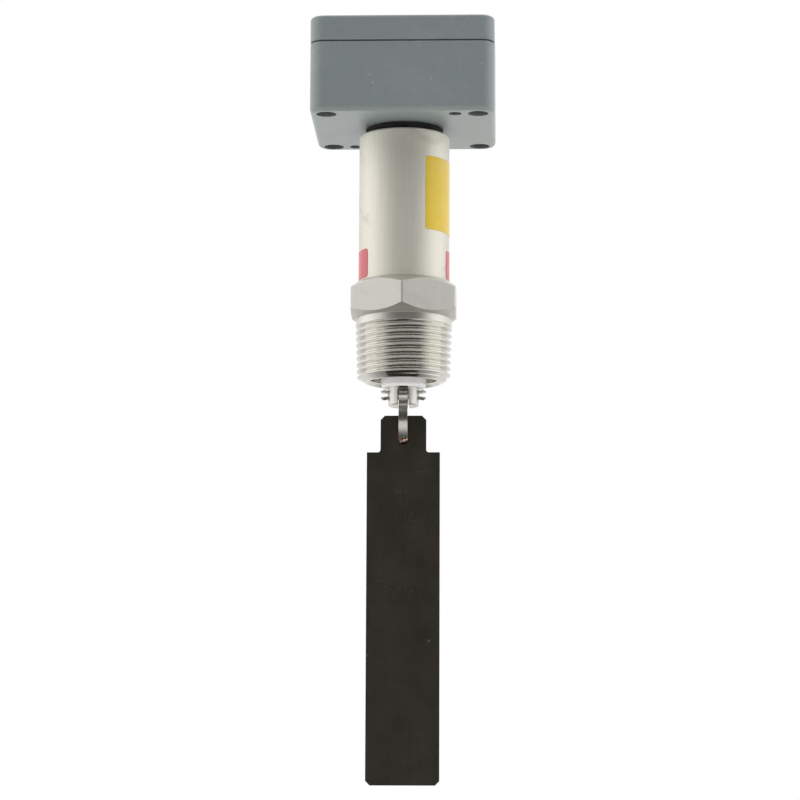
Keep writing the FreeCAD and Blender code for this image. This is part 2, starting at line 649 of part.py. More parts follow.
def earth_terminal():
    """Earth screw with its washer on the cast pad."""
    seat = "earth_seat + washer_thickness"
    washer = tube("earth_washer", "screw_head_radius + washer_rim", "screw_radius + hole_gap", "earth_seat", seat)
    keep("earth_washer", place(washer, "earth_x", "earth_y"))
    keep("earth_screw", slotted_screw("earth_screw", "earth_x", "earth_y", "box_bottom + earth_screw_floor",
                                      seat, "screw_radius", "screw_head_radius", "earth_head_height"))


def on_gland_axis(piece):
    """Stands a piece that was turned about Z on the gland's axis, its zero at the box's rear wall."""
    turn(piece, (1, 0, 0), -90)
    return place(piece, "0", "gland_wall", "gland_axis")


def cable_gland():
    """Cable gland in the rear wall: body, washer, lock nut inside the box, rubber seal and clamping nut."""
    inner_end, collar_end = "-box_wall - gland_thread_inside", "gland_seat + gland_collar_length"
    pocket = "gland_seal_radius + seat_clearance"
    body = fuse("gland_solid",
                turned("gland_barrel", [("0", inner_end), ("gland_thread", inner_end),
                                        ("gland_thread", "gland_seat"), ("gland_collar", "gland_seat"),
                                        ("gland_collar", collar_end), ("0", collar_end)]),
                hexagon("gland_hexagon", "gland_flats", "gland_washer_thickness", "gland_seat", 0))
    bore = turned("gland_bore", [("0", f"{inner_end} - 1"), ("gland_mouth - gland_bore_step", f"{inner_end} - 1"),
                                 ("gland_mouth - gland_bore_step", "gland_washer_thickness"),
                                 (pocket, "gland_washer_thickness"), (pocket, f"{collar_end} + 1"),
                                 ("0", f"{collar_end} + 1")])
    keep("gland_body", on_gland_axis(cut("gland_body", body, bore)))
    keep("gland_washer", on_gland_axis(tube("gland_washer", "gland_flats / 2 - gland_washer_rim",
                                            "gland_thread + seat_clearance", "0", "gland_washer_thickness")))
    lock_nut = cut("gland_lock_nut", hexagon("gland_lock_hexagon", "gland_flats - gland_lock_step",
                                             "-box_wall - gland_lock_height", "-box_wall", 0),
                   cylinder("gland_lock_bore", "gland_thread + seat_clearance",
                            "-box_wall - gland_lock_height - 1", "0"))
    keep("gland_lock_nut", on_gland_axis(lock_nut))
    seal_end = "gland_washer_thickness + gland_seal_length"
    keep("gland_seal", on_gland_axis(tube("gland_seal", "gland_seal_radius", "gland_seal_bore",
                                          "gland_washer_thickness", seal_end)))
    front, back = "gland_seat + gland_nut_gap", "gland_seat + gland_nut_gap + gland_nut_length"
    dome = turned("gland_dome", [("0", front), ("gland_flats / 2 + gland_cap_rim", front),
                                 ("gland_flats / 2 + gland_cap_rim", f"{back} - gland_dome_length"),
                                 ("gland_flats / 2 - gland_cap_rim", f"{back} - gland_dome_length / 2"),
                                 ("gland_mouth + gland_cap_lip", back), ("0", back)])
    dome = common("gland_cap", dome, hexagon("gland_cap_hexagon", "gland_flats - gland_cap_rim", front, back, 0))
    hollow = turned("gland_hollow", [("0", f"{front} - 1"), ("gland_collar + gland_play", f"{front} - 1"),
                                     ("gland_collar + gland_play", f"{collar_end} + gland_cap_floor"),
                                     ("gland_seal_radius + gland_play", f"{seal_end} + gland_play"),
                                     ("gland_mouth", f"{seal_end} + gland_play"),
                                     ("gland_mouth", f"{back} - gland_mouth_edge"),
                                     ("gland_mouth + gland_mouth_edge", back),
                                     ("gland_mouth + gland_mouth_edge", f"{back} + 1"), ("0", f"{back} + 1")])
    keep("gland_nut", on_gland_axis(cut("gland_nut", dome, hollow)))


# Stem ---------------------------------------------------------------------------------------------------------

def stem():
    """Stem tube, its plug with the threaded nipple, gasket, washer and lock nut."""
    steel = turned("stem_tube", [("tube_bore", "hex_height"), ("tube_radius", "hex_height"),
                                 ("tube_radius", "tube_top - tube_edge"),
                                 ("tube_radius - tube_edge", "tube_top"), ("tube_bore", "tube_top")])
    keep("stem_tube", steel)
    keep("tube_cap", turned("tube_cap", [("nipple_bore", "tube_top - cap_thickness"),
                                         ("tube_bore - seat_clearance", "tube_top - cap_thickness"),
                                         ("tube_bore - seat_clearance", "tube_top"),
                                         ("nipple_radius", "tube_top"),
                                         ("nipple_radius", "nipple_top - nipple_chamfer"),
                                         ("nipple_radius - nipple_chamfer", "nipple_top"),
                                         ("nipple_bore", "nipple_top")]))
    keep("tube_gasket", tube("tube_gasket", "gasket_radius", "nipple_radius + seat_clearance", "tube_top",
                             "box_bottom"))
    keep("lock_washer", tube("lock_washer", "lock_washer_radius", "nipple_radius + seat_clearance", "floor_top",
                             "nut_bottom"))
    face = "(lock_nut_flats / 2 - nut_face_inset)"
    nut = common("nut_blank", hexagon("nut_hexagon", "lock_nut_flats", "nut_bottom", "nut_top"),
                 turned("nut_envelope", chamfered_disc("lock_nut_flats", face, face, "nut_bottom", "nut_top")))
    keep("lock_nut", cut("lock_nut", nut, cylinder("nut_bore", "nipple_radius + seat_clearance",
                                                   "nut_bottom - 1", "nut_top + 1")))


def chamfered_disc(flats, lower_radius, upper_radius, low, high):
    """Corners of a disc whose chamfers cut a hexagon's corners on both faces."""
    reach = f"{flats} * 0.6"
    lower = f"({reach} - {lower_radius}) * tan(hex_chamfer_angle)"
    upper = f"({reach} - {upper_radius}) * tan(hex_chamfer_angle)"
    return [("0", low), (lower_radius, low), (reach, f"{low} + {lower}"), (reach, f"{high} - {upper}"),
            (upper_radius, high), ("0", high)]


def thread_profile():
    """Tapered thread from its end chamfer up to the neck, each turn a ridge between two roots."""
    room = size("thread_length") - size("thread_chamfer") - size("thread_start")
    turns = int(room / size("thread_pitch")) + 1

    def point(depth, level):
        return f"thread_radius + ({level} + neck_length) * {TAPER} - {depth}", level

    points = [point("0", "thread_end + thread_chamfer")]
    for number in reversed(range(turns)):
        crest = f"(-neck_length - thread_start - {number} * thread_pitch)"
        root = f"({crest} + thread_pitch / 2)"
        points.append(point("0", f"{crest} + thread_flat / 2"))
        points.append(point("thread_depth", f"{root} - thread_flat / 2"))
        points.append(point("thread_depth", f"{root} + thread_flat / 2"))
        if number:
            points.append(point("0", f"{crest} + thread_pitch - thread_flat / 2"))
    return points


def hex_fitting():
    """Chamfered hexagon, neck, tapered thread, spigot for the tube and the stepped bore."""
    hexagon_blank = common("hex_blank", hexagon("hex_prism", "hex_across_flats", "0", "hex_height"),
                           turned("hex_envelope", chamfered_disc("hex_across_flats", "hex_lower_radius",
                                                                 "hex_upper_radius", "0", "hex_height")))
    spigot, bush_seat = "tube_bore - seat_clearance", "bush_radius + seat_clearance"
    barrel = turned("fitting_barrel", [("0", "thread_end"), ("thread_face_radius", "thread_end")]
                    + thread_profile()
                    + [("neck_radius", "-neck_length"), ("neck_radius", "hex_height / 2"),
                       (spigot, "hex_height / 2"), (spigot, "spigot_top"), ("0", "spigot_top")])
    bore = turned("fitting_bore", [("0", "thread_end - 1"),
                                   ("mouth_radius + mouth_chamfer + 1", "thread_end - 1"),
                                   ("mouth_radius", "thread_end + mouth_chamfer"),
                                   ("mouth_radius", "web_bottom"), (bush_seat, "web_bottom"),
                                   (bush_seat, "web_top"), ("chamber_radius", "web_top"),
                                   ("chamber_radius", "spigot_top + 1"), ("0", "spigot_top + 1")])
    keep("hex_fitting", cut("hex_fitting", fuse("fitting_solid", hexagon_blank, barrel), bore))


def guide_tube():
    """Pressure-tight guide tube, closed at the top, held down on its O-ring by a ring nut."""
    keep("guide_tube", turned("guide_tube", [("guide_bore", "clevis_top"),
                                             ("chamber_radius - seat_clearance", "clevis_top"),
                                             ("chamber_radius - seat_clearance", "flange_top"),
                                             ("guide_radius", "flange_top"), ("guide_radius", "guide_top"),
                                             ("0", "guide_top"), ("0", "spring_top"),
                                             ("guide_bore", "spring_top")]))
    ring = tube("ring_nut_blank", "chamber_radius - seat_clearance", "guide_radius + ring_nut_gap", "flange_top",
                "flange_top + ring_nut_height")
    keys = [cylinder("key_hole", "key_hole_radius", "flange_top + ring_nut_height - key_hole_depth",
                     "flange_top + ring_nut_height + 1", f"{side} * (guide_radius + chamber_radius) / 2")
            for side in (-1, 1)]
    keep("ring_nut", cut("ring_nut", ring, *keys))
    o_ring = DOC.addObject("Part::Torus", "guide_tube_o_ring")
    bind(o_ring, Radius1="(clevis_flange_radius + bush_flange_radius) / 2", Radius2="ring_wire")
    keep("guide_tube_o_ring", place(o_ring, z="bush_top + clevis_flange_height / 2"))


# Pivot and paddle ---------------------------------------------------------------------------------------------

def guide_bush():
    """White flanged bush with a rounded lower edge."""
    bore, edge = "clevis_radius + seat_clearance", "bush_edge * (1 - cos(45))"
    keep("guide_bush", turned("guide_bush", [(bore, "bush_bottom"), ("bush_radius - bush_edge", "bush_bottom"),
                                             (f"bush_radius - {edge}", f"bush_bottom + {edge}"),
                                             ("bush_radius", "bush_bottom + bush_edge"),
                                             ("bush_radius", "web_top"), ("bush_flange_radius", "web_top"),
                                             ("bush_flange_radius", "bush_top"), (bore, "bush_top")]))


def clevis():
    """Flanged clevis: turned stem, bore for the push rod's foot, slot for the lever, hole for the pin."""
    blank = turned("clevis_blank", [("0", "clevis_bottom"), ("clevis_radius - clevis_edge", "clevis_bottom"),
                                    ("clevis_radius", "clevis_bottom + clevis_edge"),
                                    ("clevis_radius", "bush_top"), ("clevis_flange_radius", "bush_top"),
                                    ("clevis_flange_radius", "clevis_top"), ("0", "clevis_top")])
    across = ("-2 * clevis_radius", "2 * clevis_radius")
    slot = block("clevis_slot", ("-slot_width / 2", "slot_width / 2"), across, ("clevis_bottom - 1", "slot_top"))
    bore = cylinder("clevis_bore", "clevis_bore", "lever_top - running_clearance", "clevis_top + 1")
    hole = cross_cylinder("clevis_hole", "pin_radius + seat_clearance", *across, z="-pivot_drop")
    keep("clevis", cut("clevis", blank, slot, bore, hole))


def pin_half(side, level):
    """One half of a slit pin end, pointed and bent away from the slit."""
    across, reach = ("-2 * pin_radius", "2 * pin_radius"), "(pin_reach - clevis_radius)"
    rod = cross_cylinder("pin_end_rod", "pin_radius", "0", reach)
    kept = block("pin_end_half", ("-1", "pin_reach"), across, ("pin_slit / 2", "2 * pin_radius"))
    tip = block("pin_end_tip", ("0", "4 * pin_radius"), across, ("0", "4 * pin_radius"))
    tip.Placement.Rotation = FreeCAD.Rotation(FreeCAD.Vector(0, 1, 0), -size("pin_point_angle"))
    place(tip, f"{reach} - pin_root", across[0], "pin_slit / 2 + pin_tip")
    half = cut("pin_end", common("pin_end_blank", rod, kept), tip)
    rotation = FreeCAD.Rotation(FreeCAD.Vector(0, 1, 0), -size("pin_splay_angle"))
    if level < 0:
        rotation = FreeCAD.Rotation(FreeCAD.Vector(1, 0, 0), 180).multiply(rotation)
    if side < 0:
        rotation = FreeCAD.Rotation(FreeCAD.Vector(0, 0, 1), 180).multiply(rotation)
    half.Placement.Rotation = rotation
    return place(half, f"{side} * (clevis_radius - pin_root)", "0", "-pivot_drop")


def pivot_pin():
    """Pivot pin whose slit ends are spread open outside the clevis."""
    shank = cross_cylinder("pin_shank", "pin_radius", "-clevis_radius", "clevis_radius", z="-pivot_drop")
    halves = [pin_half(side, level) for side in (-1, 1) for level in (-1, 1)]
    keep("pivot_pin", fuse("pivot_pin", shank, *halves))


def lever_and_braze():
    """Flat lever with its eye, cam head and hooked arm, and the drop of braze over its round-ended foot."""
    half, beside = "lever_thickness / 2", ("-lever_thickness", "lever_thickness")
    eye = cross_cylinder("eye", "lever_eye", f"-{half}", half, z="-pivot_drop")
    head = block("cam_head", (f"-{half}", half), ("0", "cam_reach"), ("-pivot_drop", "lever_top + lever_eye"))
    above = block("above_head", beside, ("-3 * lever_eye", "3 * lever_eye"),
                  ("lever_top", "lever_top + 2 * lever_eye"))
    outer = cross_cylinder("hook_outer", "hook_radius", f"-{half}", half, "hook_back", "hook_centre")
    inner = cross_cylinder("hook_inner", "hook_inner_radius", *beside, "hook_inner_back", "hook_centre")
    behind = block("behind_paddle_face", beside, ("0", "3 * hook_radius"),
                   ("hook_centre - 2 * hook_radius", "hook_centre + 2 * hook_radius"))
    arm = cut("hook_arm", outer, inner, behind)
    upper, lower = hook_foot()
    depth = ("-3 * hook_radius", "3 * hook_radius")
    foot = fuse("foot_outline", block("above_foot", beside, depth, (f"{lower} + {half}", "0")),
                depth_cylinder("foot_round", half, *depth, z=f"{lower} + {half}"))
    blank = common("lever_blank", fuse("lever_form", eye, head, arm), foot)
    bore = cross_cylinder("lever_bore", "pin_radius + running_clearance", *beside, z="-pivot_drop")
    keep("lever", cut("lever", blank, above, bore))
    keep("braze_fillet", cut("braze_fillet", braze_drop(upper, lower), blank))


def hook_foot():
    """Upper and lower end of the lever's foot on the paddle's face, below the hook's centre."""
    upper = "hook_centre - sqrt(hook_inner_radius * hook_inner_radius - hook_inner_back * hook_inner_back)"
    lower = "hook_centre - sqrt(hook_radius * hook_radius - hook_back * hook_back)"
    return f"({upper})", f"({lower})"


def braze_drop(upper, lower):
    """Rounded drop of braze in front of the paddle's face."""
    drop = DOC.addObject("Part::Ellipsoid", "braze_form")
    bind(drop, Radius1="braze_length / 2", Radius2="lever_thickness / 2 + braze_spread", Radius3="braze_height")
    place(drop, z=f"{lower} + braze_length / 2 - braze_spread")
    behind = block("behind_braze", ("-2 * lever_thickness", "2 * lever_thickness"), ("0", "2 * braze_height"),
                   (f"{lower} - 2 * braze_length", f"{upper} + 2 * braze_length"))
    return cut("braze_drop", drop, behind)


def paddle():
    """Sheet paddle: blade with cut corners and a narrower tab, with hollow corners between them."""
    body = DOC.addObject("PartDesign::Body", "paddle")
    blade, tab, nick = "paddle_width / 2", "tab_width / 2", "paddle_chamfer"
    right = [(f"{blade} - {nick}", "paddle_bottom"), (blade, f"paddle_bottom + {nick}"), (blade, "shoulder"),
             (tab, "shoulder"), (tab, f"tab_top - {nick}"), (f"{tab} - {nick}", "tab_top")]
    left = [(f"-({x})", z) for x, z in reversed(right)]
    pad = body.newObject("PartDesign::Pad", "paddle_pad")
    pad.Profile = outline(body, "XZ_Plane", right + left)
    pad.Midplane = True
    pad.setExpression("Length", formula("paddle_thickness"))
    body.Tip = pad
    DOC.recompute()
    corners = [f"Edge{number}" for number, edge in enumerate(pad.Shape.Edges, start=1)
               if abs(edge.BoundBox.ZMin - size("shoulder")) < 0.01 and edge.BoundBox.ZLength < 0.01
               and edge.BoundBox.XLength < 0.01 and abs(abs(edge.BoundBox.XMin) - size("tab_width") / 2) < 0.01]
    fillet = body.newObject("PartDesign::Fillet", "paddle_fillet")
    fillet.Base = (pad, corners)
    fillet.setExpression("Radius", formula("tab_corner"))
    body.Tip = fillet
    keep("paddle", place(body, y="paddle_thickness / 2"))


# Switching gear -----------------------------------------------------------------------------------------------

def push_rod():
    """Push rod with the foot that rests on the lever's cam head."""
    keep("push_rod", turned("push_rod", [("0", "lever_top"), ("foot_radius", "lever_top"),
                                         ("foot_radius", "lever_top + foot_height"),
                                         ("rod_radius", "lever_top + foot_height"), ("rod_radius", "rod_top"),
                                         ("0", "rod_top")]))


def magnet_holder():
    """Cup on the push rod that carries the magnet, and the magnet."""
    outer = "guide_bore - running_clearance"
    keep("magnet_holder", turned("magnet_holder", [("rod_radius + seat_clearance", "holder_bottom"),
                                                   (outer, "holder_bottom"), (outer, "holder_top"),
                                                   ("magnet_radius + seat_clearance", "holder_top"),
                                                   ("magnet_radius + seat_clearance", "rod_top"),
                                                   ("rod_radius + seat_clearance", "rod_top")]))
    keep("magnet", cylinder("magnet", "magnet_radius", "rod_top", "rod_top + magnet_length"))


def return_spring():
    """Compression spring between the magnet holder and the closed end of the guide tube."""
    wire, mean = size("spring_wire"), size("spring_radius")
    low, high = size("holder_top") + wire, size("spring_top") - wire
    helix = Part.makeHelix((high - low) / size("spring_turns"), high - low, mean)
    start = FreeCAD.Vector(mean, 0, 0)
    section = Part.Wire(Part.makeCircle(wire, start, FreeCAD.Vector(0, 1, 0)))
    spring = DOC.addObject("Part::Feature", "return_spring")
    spring.Shape = Part.Wire(helix.Edges).makePipeShell([section], True, True)
    spring.Placement.Base = FreeCAD.Vector(0, 0, low)
    keep("return_spring", spring)


def reed_switch():
    """Reed switch in a moulded carrier that is clamped on the guide tube by a grub screw."""
    top = "carrier_floor + carrier_length"
    sleeve = tube("carrier_sleeve", "carrier_radius", "guide_radius + seat_clearance", "carrier_floor", top)
    pocket = cylinder("reed_pocket", "reed_radius + seat_clearance", "carrier_floor - 1", f"{top} + 1",
                      y="reed_offset")
    thread = depth_cylinder("grub_thread", "grub_radius + seat_clearance", "-carrier_radius - 1",
                            "-guide_radius", z="reed_middle")
    keep("reed_carrier", cut("reed_carrier", sleeve, pocket, thread))
    keep("carrier_screw", depth_cylinder("carrier_screw", "grub_radius", "-carrier_radius + grub_sink",
                                         "-guide_radius - running_clearance / 2", z="reed_middle"))
    low, high = "(reed_middle - reed_length / 2)", "(reed_middle + reed_length / 2)"
    glass = turned("reed_switch", [("reed_lead", low), ("reed_neck", low),
                                   ("reed_radius", f"{low} + reed_shoulder"),
                                   ("reed_radius", f"{high} - reed_shoulder"),
                                   ("reed_neck", high), ("reed_lead", high)])
    keep("reed_switch", place(glass, y="reed_offset"))
    blades = [cylinder("lower_blade", "reed_lead", "carrier_floor", "reed_middle - reed_gap / 2", "0",
                       "reed_offset"),
              cylinder("upper_blade", "reed_lead", "reed_middle + reed_gap / 2", top, "0", "reed_offset")]
    keep("reed_blades", group("reed_blades", blades))


def lead(node, points):
    """An insulated lead: straight runs joined by tangent arcs."""
    edges = []
    last = points[0]
    for before, corner, after in zip(points, points[1:], points[2:]):
        incoming, outgoing = corner - before, after - corner
        half_turn = incoming.getAngle(outgoing) / 2
        reach = 0.45 * min(incoming.Length, outgoing.Length)
        radius = reach / math.tan(half_turn)
        start = corner - incoming.normalize() * reach
        end = corner + outgoing.normalize() * reach
        inward = (start + end) * 0.5 - corner
        middle = corner + inward.normalize() * (radius / math.cos(half_turn) - radius)
        edges.append(Part.LineSegment(last, start).toShape())
        edges.append(Part.Arc(start, middle, end).toShape())
        last = end
        print(node, "bend radius", round(radius, 1))
    edges.append(Part.LineSegment(last, points[-1]).toShape())
    path = Part.Wire(edges)
    section = Part.Wire(Part.makeCircle(size("lead_radius"), points[0], points[1] - points[0]))
    solid = DOC.addObject("Part::Feature", node)
    solid.Shape = path.makePipeShell([section], True, False)
    expected = math.pi * size("lead_radius") ** 2 * path.Length
    if abs(solid.Shape.Volume / expected - 1) > 0.02:
        raise ValueError(f"{node} is not a clean sweep")
    keep(node, solid)


def reed_leads():
    """Two leads from the ends of the reed switch through the nipple to two terminals."""
    offset, floor, top = size("reed_offset"), size("carrier_floor"), size("carrier_floor") + size("carrier_length")
    out, entry = size("nipple_top"), size("block_front") + size("block_depth")
    axis, pitch, middle = size("sleeve_axis"), size("pole_pitch"), size("block_offset")
    gap, behind, half = size("running_clearance"), size("lead_offset"), size("lead_spacing") / 2
    rise, loop, beside = size("lead_rise"), size("lead_loop"), (size("carrier_radius") + size("tube_bore")) / 2
    point = FreeCAD.Vector

    def upper_part(x, terminal):
        arch = point((x + terminal) / 2, -size("lead_forward"), out + rise)
        before = point(terminal, entry + size("lead_entry"), axis + size("lead_fall"))
        return [point(x, behind, out - size("lead_run")), point(x, behind, out + size("lead_straight")),
                arch, before, point(terminal, entry - size("lead_tail"), axis)]

    lead("brown_lead", [point(0, offset, top + gap), point(0, offset, top + rise)] + upper_part(-half, middle))
    lead("blue_lead", [point(0, offset, floor - gap), point(0, offset, floor - loop),
                       point(beside * 0.5, beside * 0.8, floor - loop + size("lead_radius")),
                       point(beside * 0.6, beside * 0.8, (floor + top) / 2),
                       point(beside * 0.6, beside * 0.8, top + size("lead_side_rise"))]
         + upper_part(half, middle + pitch))


def labels():
    """Two bare foil labels on the stem tube."""
    for node, bottom, height, start, angle in (
            ("yellow_label", "yellow_bottom", "yellow_height", "yellow_start", "yellow_angle"),
            ("red_label", "red_bottom", "red_height", "red_start", "red_angle")):
        foil = turn(cylinder(node + "_foil", "tube_radius + label_thickness", bottom, f"{bottom} + {height}"),
                    (0, 0, 1), size(start))
        foil.setExpression("Angle", formula(angle))
        keep(node, cut(node, foil, cylinder(node + "_core", "tube_radius", f"{bottom} - 1",
                                            f"{bottom} + {height} + 1")))


def build():
    """Builds every sub-part."""
    fill_sheet()
    for make in (enclosure_base, enclosure_lid, lid_gasket, lid_screws, terminal_block, earth_terminal,
                 cable_gland, stem, hex_fitting, guide_tube, guide_bush, clevis, pivot_pin, lever_and_braze,
                 paddle, push_rod, magnet_holder, return_spring, reed_switch, reed_leads, labels):
        make()
    DOC.recompute()


def check():
    """Stops on any failed object, and on a sub-part whose shape is missing, invalid or without a solid."""
    for thing in DOC.Objects:
        if "Invalid" in thing.State or "Error" in thing.State:
            raise ValueError(f"{thing.Name} failed: {thing.State}")
    for piece in NODES:
        shape = piece.Shape
        if shape.isNull() or not shape.isValid() or not shape.Solids:
            raise ValueError(f"{piece.Label} has no valid solid")


def export():
    """Writes one STEP file per sub-part."""
    os.makedirs("parts", exist_ok=True)
    for piece in NODES:
        piece.Shape.exportStep(f"parts/{piece.Label}.step")
        print(f"{piece.Label}: {len(piece.Shape.Solids)} solids, {piece.Shape.Volume:.1f} mm3")


build()
check()
export()
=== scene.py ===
"""Looks of a paddle flow switch: its fitting, labels, scale marks, return spring, finishes and studio.

Frame: +Z runs up the stem, the origin is on the stem's axis at the hexagon's lower face, the paddle hangs
along -Z and its marked face looks along -Y. Lengths are in metres; MM turns millimetres into metres.
"""

import math

import bpy
import numpy as np
from bpy.props import FloatProperty, FloatVectorProperty, IntProperty, PointerProperty
from mathutils import Matrix, Vector


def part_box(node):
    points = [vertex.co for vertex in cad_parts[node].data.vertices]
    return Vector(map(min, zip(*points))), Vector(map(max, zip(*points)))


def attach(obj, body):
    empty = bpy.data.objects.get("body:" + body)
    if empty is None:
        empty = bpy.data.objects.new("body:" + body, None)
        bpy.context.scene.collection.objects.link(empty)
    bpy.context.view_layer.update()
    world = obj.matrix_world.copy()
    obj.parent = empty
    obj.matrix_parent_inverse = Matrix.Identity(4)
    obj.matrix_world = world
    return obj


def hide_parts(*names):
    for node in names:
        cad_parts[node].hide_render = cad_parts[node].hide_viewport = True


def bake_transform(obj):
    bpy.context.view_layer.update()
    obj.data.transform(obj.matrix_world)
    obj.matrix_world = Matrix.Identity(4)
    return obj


bl_info = {
    "name": "Paddle flow switch",
    "version": (1, 0, 0),
    "blender": (4, 5, 0),
    "location": "View3D > Sidebar > Flow switch",
    "description": "Dresses a paddle flow switch: fitting, labels, trim marks, spring, finishes, studio",
    "category": "Object",
}

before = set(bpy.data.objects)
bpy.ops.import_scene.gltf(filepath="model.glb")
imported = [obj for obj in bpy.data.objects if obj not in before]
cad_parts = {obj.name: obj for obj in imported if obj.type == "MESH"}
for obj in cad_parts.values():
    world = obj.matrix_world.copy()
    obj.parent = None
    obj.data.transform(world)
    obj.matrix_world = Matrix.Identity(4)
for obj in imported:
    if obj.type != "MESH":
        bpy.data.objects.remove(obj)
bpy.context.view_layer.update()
MM = 0.001
TAPER = 1 / 32  # radius gained per length of a taper pipe thread
FITTING_LOW, FITTING_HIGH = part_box("hex_fitting")
TUBE_LOW, TUBE_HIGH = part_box("stem_tube")
SPRING_LOW, SPRING_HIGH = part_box("return_spring")
BASE_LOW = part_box("enclosure_base")[0]
PADDLE_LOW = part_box("paddle")[0]


def length(name, description, default):
    """A length that a user may change."""
    return FloatProperty(name=name, description=description, default=default, min=0.0, unit="LENGTH",
                         subtype="DISTANCE", precision=5)


def level(name, description, default):
    """A height above the hexagon's lower face, which may be negative."""
    return FloatProperty(name=name, description=description, default=default, unit="LENGTH",
                         subtype="DISTANCE", precision=5)


def angle(name, description, degrees):
    """An angle that a user may change."""
    return FloatProperty(name=name, description=description, default=math.radians(degrees), unit="ROTATION",
                         subtype="ANGLE")


def brightness(name, description, default):
    """A brightness or power that a user may change."""
    return FloatProperty(name=name, description=description, default=default, min=0.0)


def steps(name, description, default):
    """A number of steps."""
    return IntProperty(name=name, description=description, default=default, min=12, max=384)


def colour(name, description, red, green, blue):
    """A colour given by its display values from 0 to 255."""
    display = np.array((red, green, blue)) / 255
    linear = np.where(display <= 0.04045, display / 12.92, ((display + 0.055) / 1.055) ** 2.4)
    return FloatVectorProperty(name=name, description=description, default=tuple(linear), subtype="COLOR",
                               size=3, min=0.0, max=1.0)


class FittingSizes(bpy.types.PropertyGroup):
    """Sizes of the hexagon fitting and its tapered thread."""

    across_flats: length("Across flats", "Width between two flats", FITTING_HIGH.x - FITTING_LOW.x)
    hexagon_height: length("Hexagon height", "Height of the hexagon", TUBE_LOW.z)
    upper_circle: length("Upper circle", "Radius at which the upper chamfer starts", 16.35 * MM)
    lower_circle: length("Lower circle", "Radius at which the lower chamfer starts", 17.15 * MM)
    chamfer_slope: angle("Chamfer slope", "Slope of both chamfers", 35.0)
    corner_round: length("Corner rounding", "Rounding of the hexagon's six upright corners", 0.5 * MM)
    neck_radius: length("Neck radius", "Plain neck between hexagon and thread", 16.7 * MM)
    neck_length: length("Neck length", "Length of that neck", 2.3 * MM)
    crest_radius: length("Crest radius", "Radius of the thread's crests beside the neck", 16.95 * MM)
    pitch: length("Pitch", "Distance between two turns: 11 turns to the inch", 25.4 * MM / 11)
    thread_start: length("Thread start", "Crest nearest the hexagon, at the rear", 2.4 * MM)
    run_out: length("Run-out", "Stretch over which the groove fades in below the neck", 1.0 * MM)
    chamfer_length: length("End chamfer", "Length of the chamfer at the thread's end", 1.7 * MM)
    face_radius: length("End face", "Outer radius of the thread's end face", 13.2 * MM)
    mouth_radius: length("Mouth", "Radius of the open bore round the bush", 11.5 * MM)
    mouth_chamfer: length("Mouth chamfer", "Chamfer inside the mouth", 1.1 * MM)
    mouth_depth: length("Mouth depth", "Depth of the open bore", 8.3 * MM)
    web_thickness: length("Web", "Thickness of the web that carries the bush", 10.0 * MM)
    web_bore: length("Web bore", "Bore of the web", 7.8 * MM)
    chamber_radius: length("Chamber", "Bore above the web", 11.5 * MM)
    spigot_radius: length("Spigot", "Spigot inside the stem tube", 14.325 * MM)
    break_edge: length("Broken edge", "Small facet on turned edges", 0.12 * MM)
    columns: steps("Columns", "Steps round the fitting", 192)
    rows_per_turn: steps("Rows per turn", "Steps along one turn of the thread", 40)


class LabelSizes(bpy.types.PropertyGroup):
    """Sizes of the two foil labels round the stem tube."""

    corner: length("Corner", "Corner radius of both labels", 1.1 * MM)
    thickness: length("Thickness", "Thickness of the foil", 0.1 * MM)
    glue: length("Glue", "Foil's clearance from the tube", 0.005 * MM)
    yellow_start: angle("Yellow start", "First edge of the yellow label, from +X", -60.0)
    yellow_span: angle("Yellow span", "Angle that the yellow label covers", 172.0)
    red_start: angle("Red start", "First edge of the red label, from +X", -20.8)
    red_span: angle("Red span", "Angle that the red label covers", 239.9)


class MarkSizes(bpy.types.PropertyGroup):
    """Sizes of the trim marks on the paddle, one for each pipe size."""

    numeral_height: length("Numeral height", "Height of the numerals", 3.4 * MM)
    numeral_gap: length("Numeral gap", "Numerals above their line", 1.9 * MM)
    line_width: length("Line width", "Width of the trim lines", 0.22 * MM)
    line_margin: length("Line margin", "Line's overhang past both ends of its numerals", 1.2 * MM)
    relief: length("Relief", "Height of the marks' raised burr on the sheet", 0.012 * MM)
    levels: FloatVectorProperty(
        name="Levels", description="Levels of the lines for pipes of 1, 1 1/2, 2 and 2 1/2 inch", size=4,
        unit="LENGTH", default=(-65.5 * MM, -71.9 * MM, -85.0 * MM, -98.6 * MM))


class SpringSizes(bpy.types.PropertyGroup):
    """Sizes of the return spring inside the guide tube."""

    wire_radius: length("Wire radius", "Radius of the spring's wire", 0.35 * MM)
    turns: FloatProperty(name="Turns", description="Number of turns", default=7.0, min=1.0)
    rings_per_turn: steps("Rings per turn", "Steps along one turn of the wire", 40)


